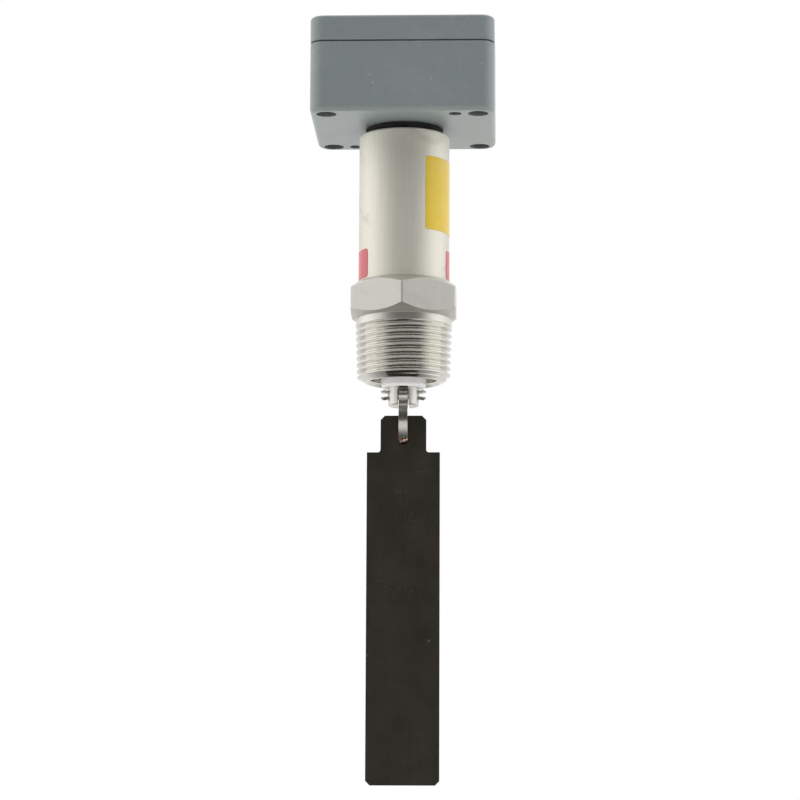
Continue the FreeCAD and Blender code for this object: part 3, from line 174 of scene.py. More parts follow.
class FinishColours(bpy.types.PropertyGroup):
    """Colours of the finishes."""

    paint: colour("Box paint", "Silver-grey powder coat of the wiring box", 143, 152, 152)
    stainless: colour("Stainless steel", "Drawn tube and sheet", 233, 230, 219)
    turned: colour("Turned steel", "Turned and milled stainless steel", 212, 210, 203)
    plated: colour("Plated steel", "Zinc-plated screws and washers", 190, 192, 190)
    nickel: colour("Nickel", "Nickel-plated brass of the cable gland", 200, 194, 182)
    brass: colour("Brass", "Terminal sleeves", 200, 165, 90)
    rubber: colour("Rubber", "Gaskets and seals", 7, 7, 7)
    bush: colour("Bush", "White guide bush", 252, 251, 250)
    block: colour("Terminal block", "Cream moulding of the terminals", 205, 200, 186)
    carrier: colour("Reed carrier", "Black moulding round the guide tube", 38, 38, 40)
    paddle: colour("Paddle", "Oxidised steel sheet", 59, 55, 47)
    braze: colour("Braze", "Copper-brown braze", 112, 72, 56)
    magnet: colour("Magnet", "Sintered magnet", 84, 82, 80)
    glass: colour("Glass", "Greenish glass of the reed switch", 190, 214, 196)
    brown: colour("Brown lead", "Insulation of the first lead", 96, 58, 36)
    blue: colour("Blue lead", "Insulation of the second lead", 40, 84, 160)
    yellow: colour("Yellow foil", "Yellow label", 240, 203, 34)
    red: colour("Red foil", "Red label", 216, 86, 96)


class StageSettings(bpy.types.PropertyGroup):
    """Camera, floor and light."""

    azimuth: angle("Azimuth", "Camera round the object, from straight ahead", 2.09)
    elevation: angle("Elevation", "Camera above the horizon", -9.42)
    roll: angle("Roll", "Turn of the camera about its own axis", 0.23)
    distance: length("Distance", "Camera to target", 1122.8 * MM)
    aim: FloatVectorProperty(name="Aim", description="Point that the camera looks at", unit="LENGTH",
                             subtype="TRANSLATION", default=(-1.232 * MM, 0.0, -28.27 * MM))
    lens: FloatProperty(name="Lens", description="Focal length on a 36 mm wide sensor", default=144.86,
                        min=1.0, unit="CAMERA")
    floor_level: level("Floor", "Level of the floor under the hanging switch", -420.0 * MM)
    floor_width: length("Floor width", "Width of the floor", 8.0)
    floor: colour("Floor colour", "Pale floor", 236, 236, 234)
    surround: brightness("Surround", "Brightness of the white surroundings", 1.0)
    overhead: brightness("Overhead", "Brightness of the soft light overhead", 1.3)
    dark_side: brightness("Dark side", "Brightness of the room behind the camera", 0.06)
    dark_turn: angle("Dark side's turn", "Middle of the dark side, to the right of the camera", 5.0)
    dark_reach: angle("Dark side's reach", "Angle from its middle to its soft edge", 51.0)
    side_power: brightness("Side lights", "Power of each soft side light, in watts", 1.0)
    shade: brightness("Shade", "Brightness of the floor's middle in reflections", 0.08)
    shade_start: length("Shade's start", "From the floor's middle to where it starts to brighten", 0.16)
    shade_end: length("Shade's end", "From the floor's middle to where it is fully bright", 0.6)


# Meshes --------------------------------------------------------------------------------------------

def signed_volume(points, quads):
    """Volume inside the faces, positive where they point outwards: a . (b x c) / 6 over all triangles."""
    first, second, third, fourth = (points[quads[:, corner]] for corner in range(4))
    halves = [(first, second, third), (first, third, fourth)]
    return sum(np.einsum("ij,ij->", a, np.cross(b, c)) for a, b, c in halves) / 6


def ring_faces(rings, points, closed):
    """Quads between neighbouring rings of points; a closed set joins the last ring to the first."""
    ring = np.arange(rings if closed else rings - 1)[:, None]
    point = np.arange(points)[None, :]
    after, onward = (ring + 1) % rings, (point + 1) % points
    here, there = ring * points, after * points
    return np.stack((here + point, here + onward, there + onward, there + point), axis=-1).reshape(-1, 4)


def ring_body(name, grid, closed, sharp):
    """A closed surface from a grid of rings, capped at both ends where the rings don't close."""
    rings, points = grid.shape[:2]
    flat = grid.reshape(-1, 3)
    quads = ring_faces(rings, points, closed)
    ends = [] if closed else [list(range(points))[::-1], list(range((rings - 1) * points, rings * points))]
    if signed_volume(flat, quads) < 0:
        quads = quads[:, ::-1]
        ends = [end[::-1] for end in ends]
    mesh = bpy.data.meshes.new(name)
    mesh.from_pydata(flat.tolist(), [], quads.tolist() + ends)
    mesh.shade_smooth()
    mesh.set_sharp_from_angle(angle=math.radians(sharp))
    return placed(name, mesh)


def placed(name, data):
    """A new object in the scene, at the origin."""
    made = bpy.data.objects.new(name, data)
    bpy.context.scene.collection.objects.link(made)
    return made


def middle(node):
    """Middle of a CAD node's box."""
    low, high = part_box(node)
    return (low + high) / 2


def settle(piece, body, material, slot, *nodes):
    """Gives a finished piece its material, the body it rides on and the nodes it stands for."""
    piece.data.materials.append(material)
    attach(piece, body)
    if nodes:
        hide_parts(*nodes)


def eased(corners, facet):
    """A profile of (radius, level) columns in which each corner is cut by two small facets: points a
    facet's length before and behind the corner, and the middle of the curve between them."""
    profile = []
    for before, corner, behind in zip(corners[-1:] + corners[:-1], corners, corners[1:] + corners[:1]):
        start, end = before - corner, behind - corner
        start = corner + start * (facet / np.linalg.norm(start, axis=1, keepdims=True))
        end = corner + end * (facet / np.linalg.norm(end, axis=1, keepdims=True))
        profile += [start, (start + 2 * corner + end) / 4, end]
    return profile


# Node trees ----------------------------------------------------------------------------------------

class Tree:
    """A node tree being laid out: each method places one node and returns its output."""

    def __init__(self, tree):
        self.tree = tree

    def place(self, kind, inputs=None, **settings):
        """A node with its settings and with numbers or links on the named inputs."""
        made = self.tree.nodes.new(kind)
        for name, value in settings.items():
            setattr(made, name, value)
        for name, value in (inputs or {}).items():
            if isinstance(value, bpy.types.NodeSocket):
                self.tree.links.new(value, made.inputs[name])
            else:
                made.inputs[name].default_value = value
        return made

    def math(self, operation, first, second=0.0, clamp=False):
        """The result of a sum on two numbers."""
        made = self.place("ShaderNodeMath", {0: first, 1: second}, operation=operation, use_clamp=clamp)
        return made.outputs[0]

    def vector(self, operation, first, second=(0.0, 0.0, 0.0)):
        """The result of a sum on two vectors: a number for a length or a dot product."""
        made = self.place("ShaderNodeVectorMath", {0: first, 1: second}, operation=operation)
        return made.outputs["Value" if operation in ("LENGTH", "DOT_PRODUCT") else "Vector"]

    def level(self, vector):
        """The Z value of a vector."""
        return self.place("ShaderNodeSeparateXYZ", {"Vector": vector}).outputs["Z"]

    def choose(self, share, first, second):
        """A value between two."""
        return self.place("ShaderNodeMix", {0: share, 2: first, 3: second}).outputs[0]

    def noise(self, vector, scale, detail=3.0, roughness=0.5, **extra):
        """Cloudy noise from 0 to 1."""
        inputs = {"Vector": vector, "Scale": scale, "Detail": detail, "Roughness": roughness}
        return self.place("ShaderNodeTexNoise", inputs | extra).outputs["Fac"]

    def span(self, value, low, high, to_low=0.0, to_high=1.0):
        """A value stretched from one range to another and held within it."""
        inputs = {"Value": value, "From Min": low, "From Max": high, "To Min": to_low, "To Max": to_high}
        return self.place("ShaderNodeMapRange", inputs, clamp=True).outputs["Result"]

    def blend(self, share, first, second, mode="MIX"):
        """A colour between two, or one multiplied by the other."""
        inputs = {0: share, 6: first, 7: second}
        return self.place("ShaderNodeMix", inputs, data_type="RGBA", blend_type=mode).outputs[2]

    def darken(self, colour, factor):
        """A colour multiplied by a value."""
        grey = self.place("ShaderNodeCombineColor", {"Red": factor, "Green": factor, "Blue": factor})
        return self.blend(1.0, colour, grey.outputs[0], "MULTIPLY")

    def object_point(self, centre=(0.0, 0.0, 0.0), turn=(0.0, 0.0, 0.0)):
        """The point on the object, from a centre and after a turn."""
        place = self.place("ShaderNodeTexCoord").outputs["Object"]
        shifted = self.place("ShaderNodeMapping", {"Vector": place, "Location": tuple(-x for x in centre)})
        turned = self.place("ShaderNodeMapping", {"Vector": shifted.outputs[0], "Rotation": turn})
        return turned.outputs[0]


def effect(name, inputs, outputs, lay_out):
    """A shader node group, built once: a vector and numbers with their defaults go in, values come out."""
    found = bpy.data.node_groups.get(name)
    if found:
        return found
    group = bpy.data.node_groups.new(name, "ShaderNodeTree")
    group.interface.new_socket("Vector", in_out="INPUT", socket_type="NodeSocketVector")
    for label, default in inputs.items():
        socket = group.interface.new_socket(label, in_out="INPUT", socket_type="NodeSocketFloat")
        socket.default_value = default
    for label in outputs:
        group.interface.new_socket(label, in_out="OUTPUT", socket_type="NodeSocketFloat")
    entry, leave = group.nodes.new("NodeGroupInput"), group.nodes.new("NodeGroupOutput")
    for label, value in lay_out(Tree(group), entry.outputs).items():
        group.links.new(value, leave.inputs[label])
    return group


def coat_grain():
    """Powder coat: fine grain on soft orange peel, with rare pale and dark specks."""
    def lay_out(tree, given):
        fine = tree.noise(given["Vector"], given["Grain"], 2.0)
        peel = tree.noise(given["Vector"], given["Peel"], 1.0)
        height = tree.math("ADD", tree.math("MULTIPLY", fine, 0.45), tree.math("MULTIPLY", peel, 0.55))
        inputs = {"Vector": given["Vector"], "Scale": given["Speck scale"]}
        cells = tree.place("ShaderNodeTexVoronoi", inputs).outputs
        chance = tree.place("ShaderNodeSeparateColor", {"Color": cells["Color"]}).outputs
        near = tree.span(cells["Distance"], 0.2, 0.1)
        pale = tree.math("MULTIPLY", near, tree.span(chance["Red"], 0.985, 0.99))
        dark = tree.math("MULTIPLY", near, tree.span(chance["Green"], 0.985, 0.99))
        return {"Height": height, "Pale specks": pale, "Dark specks": dark}

    return effect("Coat grain", {"Grain": 4000.0, "Peel": 900.0, "Speck scale": 700.0},
                  ("Height", "Pale specks", "Dark specks"), lay_out)


def turned_grain():
    """Tool marks round an axis: noise that changes quickly with height and radius and slowly round it."""
    def lay_out(tree, given):
        apart = tree.place("ShaderNodeSeparateXYZ", {"Vector": given["Vector"]}).outputs
        flat = tree.place("ShaderNodeCombineXYZ", {"X": apart["X"], "Y": apart["Y"]}).outputs[0]
        radius = tree.vector("LENGTH", flat)
        round_axis = tree.place("ShaderNodeVectorMath", {0: flat}, operation="NORMALIZE").outputs["Vector"]
        inputs = {0: round_axis, "Scale": given["Waver"]}
        slow = tree.place("ShaderNodeVectorMath", inputs, operation="SCALE")
        parts = tree.place("ShaderNodeSeparateXYZ", {"Vector": slow.outputs["Vector"]}).outputs
        step = tree.math("MULTIPLY", tree.math("ADD", apart["Z"], radius), given["Marks"])
        point = tree.place("ShaderNodeCombineXYZ", {"X": parts["X"], "Y": parts["Y"], "Z": step}).outputs[0]
        return {"Marks": tree.noise(point, 1.0, 3.0, 0.65)}

    return effect("Turned grain", {"Marks": 5000.0, "Waver": 1.5}, ("Marks",), lay_out)


def drawn_grain():
    """Fine lines that run along Z: noise squeezed across and drawn out along the axis."""
    def lay_out(tree, given):
        inputs = {"X": given["Across"], "Y": given["Across"], "Z": given["Along"]}
        scale = tree.place("ShaderNodeCombineXYZ", inputs).outputs[0]
        point = tree.vector("MULTIPLY", given["Vector"], scale)
        lines = tree.noise(point, 1.0, 3.0, 0.6)
        nicks = tree.span(tree.noise(point, 0.31, 2.0), 0.66, 0.72)
        return {"Lines": lines, "Nicks": nicks}

    return effect("Drawn grain", {"Across": 5000.0, "Along": 120.0}, ("Lines", "Nicks"), lay_out)


def edge_wear_and_highlight():
    """Masks of edges where the rounded normal leaves the true one: every edge, which carries the fitting's
    painted highlight, and rubbed edges, broken up by noise.
    """
    def lay_out(tree, given):
        soft = tree.place("ShaderNodeBevel", {"Radius": given["Radius"]}, samples=6).outputs[0]
        hard = tree.place("ShaderNodeNewGeometry").outputs["Normal"]
        bend = tree.math("SUBTRACT", 1.0, tree.vector("DOT_PRODUCT", soft, hard))
        edge = tree.span(bend, 0.01, 0.12)
        broken = tree.span(tree.noise(given["Vector"], given["Break up"], 3.0), 0.35, 0.65)
        mask = tree.math("MULTIPLY", edge, tree.math("MULTIPLY", broken, given["Amount"]), clamp=True)
        return {"Edges": edge, "Worn": mask}

    return effect("Edge wear and highlight", {"Radius": 0.25 * MM, "Amount": 1.0, "Break up": 900.0}, ("Edges", "Worn"),
                  lay_out)


def smudges():
    """Mask of handling marks and dust: wide soft patches with a finer rim."""
    def lay_out(tree, given):
        patches = tree.noise(given["Vector"], given["Scale"], 4.0, 0.6, Distortion=0.6)
        edge = tree.math("ADD", given["Threshold"], 0.12)
        inputs = {"Value": patches, "From Min": given["Threshold"], "From Max": edge}
        mask = tree.place("ShaderNodeMapRange", inputs, clamp=True, interpolation_type="SMOOTHSTEP")
        return {"Mask": mask.outputs["Result"]}

    return effect("Smudges", {"Scale": 90.0, "Threshold": 0.52}, ("Mask",), lay_out)


def scratches():
    """Mask of fine scratches in two directions: thin level lines of stretched noise, kept in patches."""
    def lay_out(tree, given):
        lines = []
        for turn, seed in ((0.5, 0.0), (-1.1, 3.7)):
            inputs = {"Vector": given["Vector"], "Rotation": (0.0, turn, 0.0), "Location": (seed, 0.0, 0.0),
                      "Scale": (0.12, 0.3, 1.0)}
            wave = tree.noise(tree.place("ShaderNodeMapping", inputs).outputs[0], given["Scale"], 1.0)
            gap = tree.math("ABSOLUTE", tree.math("SUBTRACT", wave, 0.5))
            lines.append(tree.span(gap, 0.012, 0.0))
        both = tree.math("MAXIMUM", lines[0], lines[1])
        where = tree.span(tree.noise(given["Vector"], given["Patch scale"], 2.0), 0.55, 0.68)
        return {"Mask": tree.math("MULTIPLY", both, where)}

    return effect("Scratches", {"Scale": 700.0, "Patch scale": 120.0}, ("Mask",), lay_out)


def crevice_shade():
    """Mask for painted shade in holes, gaps and corners, where little of the surroundings is in sight."""
    def lay_out(tree, given):
        sight = tree.place("ShaderNodeAmbientOcclusion", {"Distance": given["Reach"]}, samples=8)
        lost = tree.span(sight.outputs["AO"], given["Open"], 0.0)
        cloud = tree.span(tree.noise(given["Vector"], 600.0, 2.0), 0.2, 0.6, 0.75, 1.0)
        return {"Mask": tree.math("MULTIPLY", lost, cloud, clamp=True)}

    return effect("Crevice shade", {"Reach": 5 * MM, "Open": 0.5}, ("Mask",), lay_out)


class Finish(Tree):
    """A material with one Principled shader, its base colour built up in layers."""

    def __init__(self, name, base, metallic=0.0, centre=(0.0, 0.0, 0.0), turn=(0.0, 0.0, 0.0)):
        self.material = bpy.data.materials.new(name)
        self.material.use_nodes = True
        super().__init__(self.material.node_tree)
        self.shader = self.tree.nodes["Principled BSDF"]
        self.shader.inputs["Metallic"].default_value = metallic
        self.point = self.object_point(centre, turn)
        self.colour = (*base, 1.0)
        self.links = {}
        self.height = None

    def use(self, group, **inputs):
        """The outputs of an effect placed with this material's own values."""
        named = {label.replace("_", " "): value for label, value in inputs.items()}
        return self.place("ShaderNodeGroup", {"Vector": self.point} | named, node_tree=group).outputs

    def tint(self, mask, colour, share=1.0):
        """Lays a share of a colour over the base where the mask says."""
        self.colour = self.blend(self.math("MULTIPLY", mask, share), self.colour, (*colour, 1.0))

    def wear_and_edge_highlight(self, radius, amount, break_up, colour, share, mask="Worn"):
        """Lays a colour over rubbed edges, or with the Edges mask over every edge: real wear, and on the
        machined fitting a painted highlight.
        """
        worn = self.use(edge_wear_and_highlight(), Radius=radius, Amount=amount, Break_up=break_up)
        self.tint(worn[mask], colour, share)

    def smudge(self, scale, threshold, colour, share):
        """Lays a colour over soft patches of dust, oil or handling."""
        self.tint(self.use(smudges(), Scale=scale, Threshold=threshold)["Mask"], colour, share)

    def shade(self, value, low, high):
        """Darkens and lightens the base by a pattern."""
        self.colour = self.darken(self.colour, self.span(value, 0.25, 0.75, low, high))

    def rough(self, value, low, high):
        """Roughness that follows a pattern between two limits."""
        self.links["Roughness"] = self.span(value, 0.25, 0.75, low, high)

    def dull(self, mask, amount):
        """Adds to the roughness where the mask says."""
        more = self.math("MULTIPLY", mask, amount)
        self.links["Roughness"] = self.math("ADD", self.links["Roughness"], more)

    def raise_by(self, value, amount):
        """Sets the surface's height, in metres, by a pattern."""
        self.height = self.math("MULTIPLY", value, amount)

    def close(self, soft_edge=0.0, **constants):
        """Joins colour, roughness and relief to the shader and returns the material."""
        for label, value in constants.items():
            self.shader.inputs[label.replace("_", " ")].default_value = value
        self.links["Base Color"] = self.colour
        inputs = {"Distance": 1.0}
        if soft_edge:
            inputs["Normal"] = self.place("ShaderNodeBevel", {"Radius": soft_edge}, samples=4).outputs[0]
        if self.height is not None:
            inputs["Height"] = self.height
            self.links["Normal"] = self.place("ShaderNodeBump", inputs).outputs[0]
        for label, value in self.links.items():
            self.tree.links.new(value, self.shader.inputs[label])
        return self.material


# Finishes ------------------------------------------------------------------------------------------

def colours():
    """The finish colours of the scene."""
    return bpy.context.scene.flow_switch_finish


def powder_coat():
    """Semi-matte silver-grey powder coat with specks, rubbed edges, a little dust and painted shade, near
    black, in holes and gaps above the box's underside.
    """
    made = Finish("Powder coat", colours().paint)
    grain = made.use(coat_grain(), Grain=2600.0, Peel=650.0, Speck_scale=900.0)
    above_floor = made.span(made.level(made.point), BASE_LOW.z + 0.05 * MM, BASE_LOW.z + 0.2 * MM)
    painted_hollow_shade = made.math("MULTIPLY", made.use(crevice_shade(), Reach=14 * MM, Open=0.97)["Mask"], above_floor)
    made.shade(grain["Height"], 0.95, 1.05)
    made.smudge(45.0, 0.5, (0.75, 0.75, 0.72), 0.035)
    made.tint(grain["Pale specks"], (0.8, 0.8, 0.78))
    made.tint(grain["Dark specks"], (0.1, 0.1, 0.1))
    made.wear_and_edge_highlight(0.5 * MM, 0.5, 1200.0, (0.6, 0.61, 0.6), 0.35)
    # painted shade: near black laid into holes, gaps and corners that see little of the surroundings
    made.tint(painted_hollow_shade, (0.02, 0.02, 0.02), 0.9)
    made.rough(grain["Height"], 0.26, 0.38)
    made.raise_by(grain["Height"], 0.012 * MM)
    return made.close(soft_edge=0.2 * MM)


def drawn_steel():
    """Satin drawn tube: fine lines round the tube, faint handling marks."""
    made = Finish("Drawn stainless", colours().stainless, 0.88)
    rings = made.use(turned_grain(), Marks=9000.0, Waver=0.8)
    lines = made.use(drawn_grain(), Across=2500.0, Along=60.0)
    made.shade(rings["Marks"], 0.93, 1.05)
    made.shade(lines["Lines"], 0.95, 1.03)
    made.smudge(55.0, 0.56, (0.42, 0.36, 0.29), 0.22)
    made.rough(rings["Marks"], 0.56, 0.66)
    made.raise_by(rings["Marks"], 0.0012 * MM)
    return made.close(soft_edge=0.15 * MM, Anisotropic=0.6, Anisotropic_Rotation=0.25)


def turned_steel(name="Turned stainless", base=None, marks=4200.0, rough=(0.2, 0.36),
                 centre=(0.0, 0.0, 0.0), turn=(0.0, 0.0, 0.0), brushed=0.0):
    """Machined steel: tool marks round an axis, rubbed edges and a thin film of oil or dust in places."""
    made = Finish(name, base or colours().turned, 1.0, centre, turn)
    rings = made.use(turned_grain(), Marks=marks, Waver=2.0)
    made.shade(rings["Marks"], 0.86, 1.06)
    made.smudge(160.0, 0.54, (0.3, 0.27, 0.23), 0.16)
    made.wear_and_edge_highlight(0.3 * MM, 1.0, 1500.0, (0.9, 0.9, 0.88), 0.5)
    made.rough(rings["Marks"], *rough)
    made.raise_by(rings["Marks"], 0.002 * MM)
    return made.close(soft_edge=0.12 * MM, Anisotropic=brushed, Anisotropic_Rotation=0.25)


def milled_steel():
    """The fitting: upright scratches on the hexagon's flats, tool marks round the thread and mouth, and a
    painted highlight, near white, along every edge.
    """
    made = Finish("Machined fitting", colours().turned, 1.0)
    rings = made.use(turned_grain(), Marks=5200.0, Waver=1.5)
    lines = made.use(drawn_grain(), Across=1900.0, Along=90.0)
    here = made.level(made.point)
    neck_end = -bpy.context.scene.flow_switch_fitting.neck_length
    on_hexagon = made.span(here, 0.0, 0.1 * MM)
    above_thread = made.span(here, neck_end - 0.1 * MM, neck_end + 0.1 * MM)
    grain = made.choose(on_hexagon, rings["Marks"], lines["Lines"])
    made.shade(grain, 0.96, 1.03)
    made.smudge(150.0, 0.55, (0.32, 0.29, 0.25), 0.12)
    made.tint(made.math("MULTIPLY", lines["Nicks"], on_hexagon), (0.95, 0.95, 0.93), 0.35)
    # painted highlight: near white laid along every edge of the fitting, not broken up by noise
    made.wear_and_edge_highlight(0.25 * MM, 0.8, 1600.0, (0.98, 0.98, 0.97), 0.6, mask="Edges")
    made.rough(grain, 0.05, 0.11)
    made.dull(above_thread, 0.3)
    made.dull(on_hexagon, 0.06)
    made.raise_by(grain, 0.0007 * MM)
    return made.close(soft_edge=0.1 * MM)


def moulded(name, base, roughness, grain_scale=1800.0, dirt=0.12):
    """Moulded plastic or rubber: fine spark grain, dust in patches, edges a little lighter."""
    made = Finish(name, base)
    grain = made.use(coat_grain(), Grain=grain_scale, Peel=grain_scale / 5, Speck_scale=500.0)
    made.shade(grain["Height"], 0.92, 1.06)
    made.smudge(110.0, 0.5, (0.36, 0.34, 0.31), dirt)
    made.wear_and_edge_highlight(0.3 * MM, 0.7, 1300.0, tuple(min(1.0, 0.1 + 1.3 * x) for x in base), 0.25)
    made.rough(grain["Height"], max(0.05, roughness - 0.07), roughness + 0.1)
    made.raise_by(grain["Height"], 0.004 * MM)
    return made.close(soft_edge=0.1 * MM)


def oxidised_sheet():
    """Dark oxidised steel sheet: cloudy brown and grey mottling, fine scratches, heat tint round the braze.
    Its distance from the braze's foot, made uneven by the clouds, sets the heat tint."""
    made = Finish("Oxidised sheet", colours().paddle, 0.55)
    clouds = made.noise(made.point, 95.0, 5.0, 0.6)
    streaks = made.use(drawn_grain(), Across=900.0, Along=30.0)
    marks = made.use(scratches(), Scale=650.0, Patch_scale=90.0)["Mask"]
    specks = made.use(coat_grain(), Grain=2200.0, Peel=400.0, Speck_scale=330.0)
    made.shade(clouds, 0.82, 1.18)
    made.shade(streaks["Lines"], 0.94, 1.06)
    made.smudge(60.0, 0.54, (0.055, 0.04, 0.027), 0.35)
    foot = (0.0, 0.0, -41.5 * MM)
    away = made.vector("LENGTH", made.vector("SUBTRACT", made.point, foot))
    heat = made.span(made.math("ADD", away, made.math("MULTIPLY", clouds, 3 * MM)), 5.5 * MM, 2 * MM)
    made.tint(heat, (0.11, 0.055, 0.028), 0.6)
    made.tint(marks, (0.2, 0.2, 0.19), 0.14)
    made.tint(specks["Pale specks"], (0.3, 0.29, 0.27), 0.4)
    made.wear_and_edge_highlight(0.2 * MM, 0.7, 900.0, (0.16, 0.15, 0.14), 0.4)
    made.rough(clouds, 0.42, 0.62)
    made.raise_by(specks["Height"], 0.006 * MM)
    return made.close()


def brazed_copper():
    """Braze: warm copper-brown with scale, rippled, with painted glints in small near-white patches."""
    made = Finish("Braze", colours().braze, 1.0)
    ripple = made.noise(made.point, 1300.0, 3.0)
    made.shade(ripple, 0.8, 1.2)
    made.smudge(500.0, 0.5, (0.12, 0.05, 0.025), 0.55)
    made.wear_and_edge_highlight(0.3 * MM, 0.6, 1500.0, (0.9, 0.7, 0.55), 0.4)
    # painted glints: small patches of near white laid on the braze's colour
    bright = made.span(made.noise(made.point, 620.0, 1.0), 0.56, 0.6)
    made.tint(bright, (0.9, 0.86, 0.78), 0.8)
    made.rough(ripple, 0.22, 0.45)
    made.raise_by(ripple, 0.03 * MM)
    return made.close()


def foil(name, base, edge):
    """Bare foil label: slight waves, a darker cut edge, scuffs."""
    made = Finish(name, base)
    waves = made.noise(made.point, 260.0, 2.0)
    fibre = made.use(drawn_grain(), Across=1500.0, Along=1500.0)
    scuffs = made.use(scratches(), Scale=900.0, Patch_scale=160.0)["Mask"]
    made.shade(waves, 0.96, 1.03)
    made.shade(fibre["Lines"], 0.97, 1.02)
    made.tint(scuffs, (0.9, 0.88, 0.8), 0.25)
    made.wear_and_edge_highlight(0.3 * MM, 1.0, 700.0, edge, 0.5, mask="Edges")
    made.rough(waves, 0.28, 0.42)
    made.raise_by(waves, 0.006 * MM)
    return made.close(Coat_Weight=0.3, Coat_Roughness=0.15)


def reed_glass():
    """Greenish glass of the reed switch with smoky ends."""
    made = Finish("Reed glass", colours().glass)
    cloud = made.noise(made.point, 700.0, 2.0)
    made.shade(cloud, 0.85, 1.0)
    made.rough(cloud, 0.03, 0.12)
    made.raise_by(cloud, 0.002 * MM)
    return made.close(Transmission_Weight=0.9, IOR=1.48)


def engraving():
    """Scribed marks: burnt, a little darker and browner than the sheet."""
    made = Finish("Scribed marks", (0.011, 0.007, 0.004))
    burn = made.noise(made.point, 900.0, 3.0)
    made.shade(burn, 0.6, 1.6)
    made.rough(burn, 0.5, 0.8)
    made.raise_by(burn, 0.004 * MM)
    return made.close()


def dress(material, *names):
    """Gives CAD nodes a material."""
    for name in names:
        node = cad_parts[name]
        node.data.materials.clear()
        node.data.materials.append(material)


# Pieces --------------------------------------------------------------------------------------------

def thread_depth(turns):
    """Depth of a Whitworth thread below its crest, in pitches, at a number of turns from a crest's middle:
    round crests and roots of radius 0.1373 pitch, joined by flanks of 27.5 degrees."""
    flank, round_radius, depth = math.radians(27.5), 0.137329, 0.640327
    from_crest = np.abs((turns + 0.5) % 1.0 - 0.5)
    from_root = 0.5 - from_crest
    arc_end = round_radius * math.cos(flank)
    crest_rise, root_rise = (np.sqrt(round_radius ** 2 - np.minimum(along, arc_end) ** 2)
                             for along in (from_crest, from_root))
    on_flank = depth / 2 + (from_crest - 0.25) / math.tan(flank)
    result = np.where(from_crest < arc_end, round_radius - crest_rise, on_flank)
    return np.where(from_root < arc_end, depth - round_radius + root_rise, result)


def hexagon_radius(angles, flats, rounding):
    """Radius of a hexagon with flats across X: half its width over the cosine from the nearest flat's
    middle, and at each corner an arc whose centre lies on the corner's ray."""
    from_flat = (angles + math.pi / 6) % (math.pi / 3) - math.pi / 6
    from_corner = math.pi / 6 - np.abs(from_flat)
    arc_centre = (flats / 2 - rounding) / math.cos(math.pi / 6)
    across = arc_centre * np.sin(from_corner)
    arc = arc_centre * np.cos(from_corner) + np.sqrt(np.maximum(rounding ** 2 - across ** 2, 0))
    tangent = math.atan2(rounding / 2, arc_centre + rounding * math.cos(math.pi / 6))
    return np.where(from_corner < tangent, arc, flats / 2 / np.cos(from_flat))


def fitting_grid(sizes):
    """The fitting as rings: round the axis, each ring is the closed profile from the web's bore out over
    the mouth, the end face, the thread, the neck and the chamfered hexagon, and back down the spigot and
    the chamber. The thread's radius is the tapered crest less the thread's depth at (level / pitch - turns
    round the axis), never more than the end chamfer's cone. Four more rings stand close to each corner."""
    corners = math.radians(30) + np.arange(6) * math.pi / 3
    near_corner = (corners[:, None] + np.radians([-0.7, -0.35, 0.35, 0.7])).ravel()
    angles = np.unique(np.concatenate([np.arange(sizes.columns) * math.tau / sizes.columns, near_corner]))
    one = np.ones_like(angles)
    end, top = FITTING_LOW.z, FITTING_HIGH.z
    web_low = end + sizes.mouth_depth
    web_high = web_low + sizes.web_thickness
    flat = hexagon_radius(angles, sizes.across_flats, sizes.corner_round)
    slope = math.tan(sizes.chamfer_slope)
    height = sizes.hexagon_height

    def at(radius, here):
        return np.stack([radius * one, here * one], axis=1)

    facet = sizes.break_edge
    inner = eased([at(sizes.web_bore, web_high), at(sizes.web_bore, web_low),
                   at(sizes.mouth_radius, web_low), at(sizes.mouth_radius, end + sizes.mouth_chamfer),
                   at(sizes.mouth_radius + sizes.mouth_chamfer, end), at(sizes.face_radius, end)], facet)
    rows = np.arange(end, -sizes.neck_length, sizes.pitch / sizes.rows_per_turn)[1:]
    crest = sizes.crest_radius + (rows + sizes.neck_length) * TAPER
    shallow = np.clip((-sizes.neck_length - rows) / sizes.run_out, 0, 1)
    turns = (rows[None, :] + sizes.thread_start) / sizes.pitch - (angles[:, None] - math.pi) / math.tau
    thread = crest - thread_depth(turns) * sizes.pitch * shallow
    crest_end = sizes.crest_radius + (end + sizes.chamfer_length + sizes.neck_length) * TAPER
    cone = sizes.face_radius + (rows - end) * (crest_end - sizes.face_radius) / sizes.chamfer_length
    thread = np.minimum(thread, cone)
    threaded = [np.stack([thread[:, row], rows[row] * one], axis=1) for row in range(len(rows))]
    neck = [at(sizes.neck_radius, -sizes.neck_length + 0.02 * MM), at(sizes.neck_radius, 0.0)]
    hexagon = [at(sizes.lower_circle, 0.0), np.stack([flat, (flat - sizes.lower_circle) * slope], axis=1),
               np.stack([flat, height - (flat - sizes.upper_circle) * slope], axis=1),
               at(sizes.upper_circle, height), at(sizes.spigot_radius, height)]
    upper = eased([hexagon[-1], at(sizes.spigot_radius, top), at(sizes.chamber_radius, top),
                   at(sizes.chamber_radius, web_high)], facet)[3:-1]
    profile = np.stack(inner[2:] + threaded + neck + hexagon + upper, axis=1)
    radius, here = profile[..., 0], profile[..., 1]
    return np.stack([radius * np.cos(angles)[:, None], radius * np.sin(angles)[:, None], here], axis=-1)


class FLOWSWITCH_OT_fitting(bpy.types.Operator):
    """Hexagon fitting with its tapered pipe thread."""

    bl_idname = "flowswitch.fitting"
    bl_label = "Fitting"

    def execute(self, context):
        sizes = context.scene.flow_switch_fitting
        piece = ring_body("threaded_fitting", fitting_grid(sizes), True, 42)
        settle(piece, "stem", milled_steel(), "turned_steel", "hex_fitting")
        return {"FINISHED"}


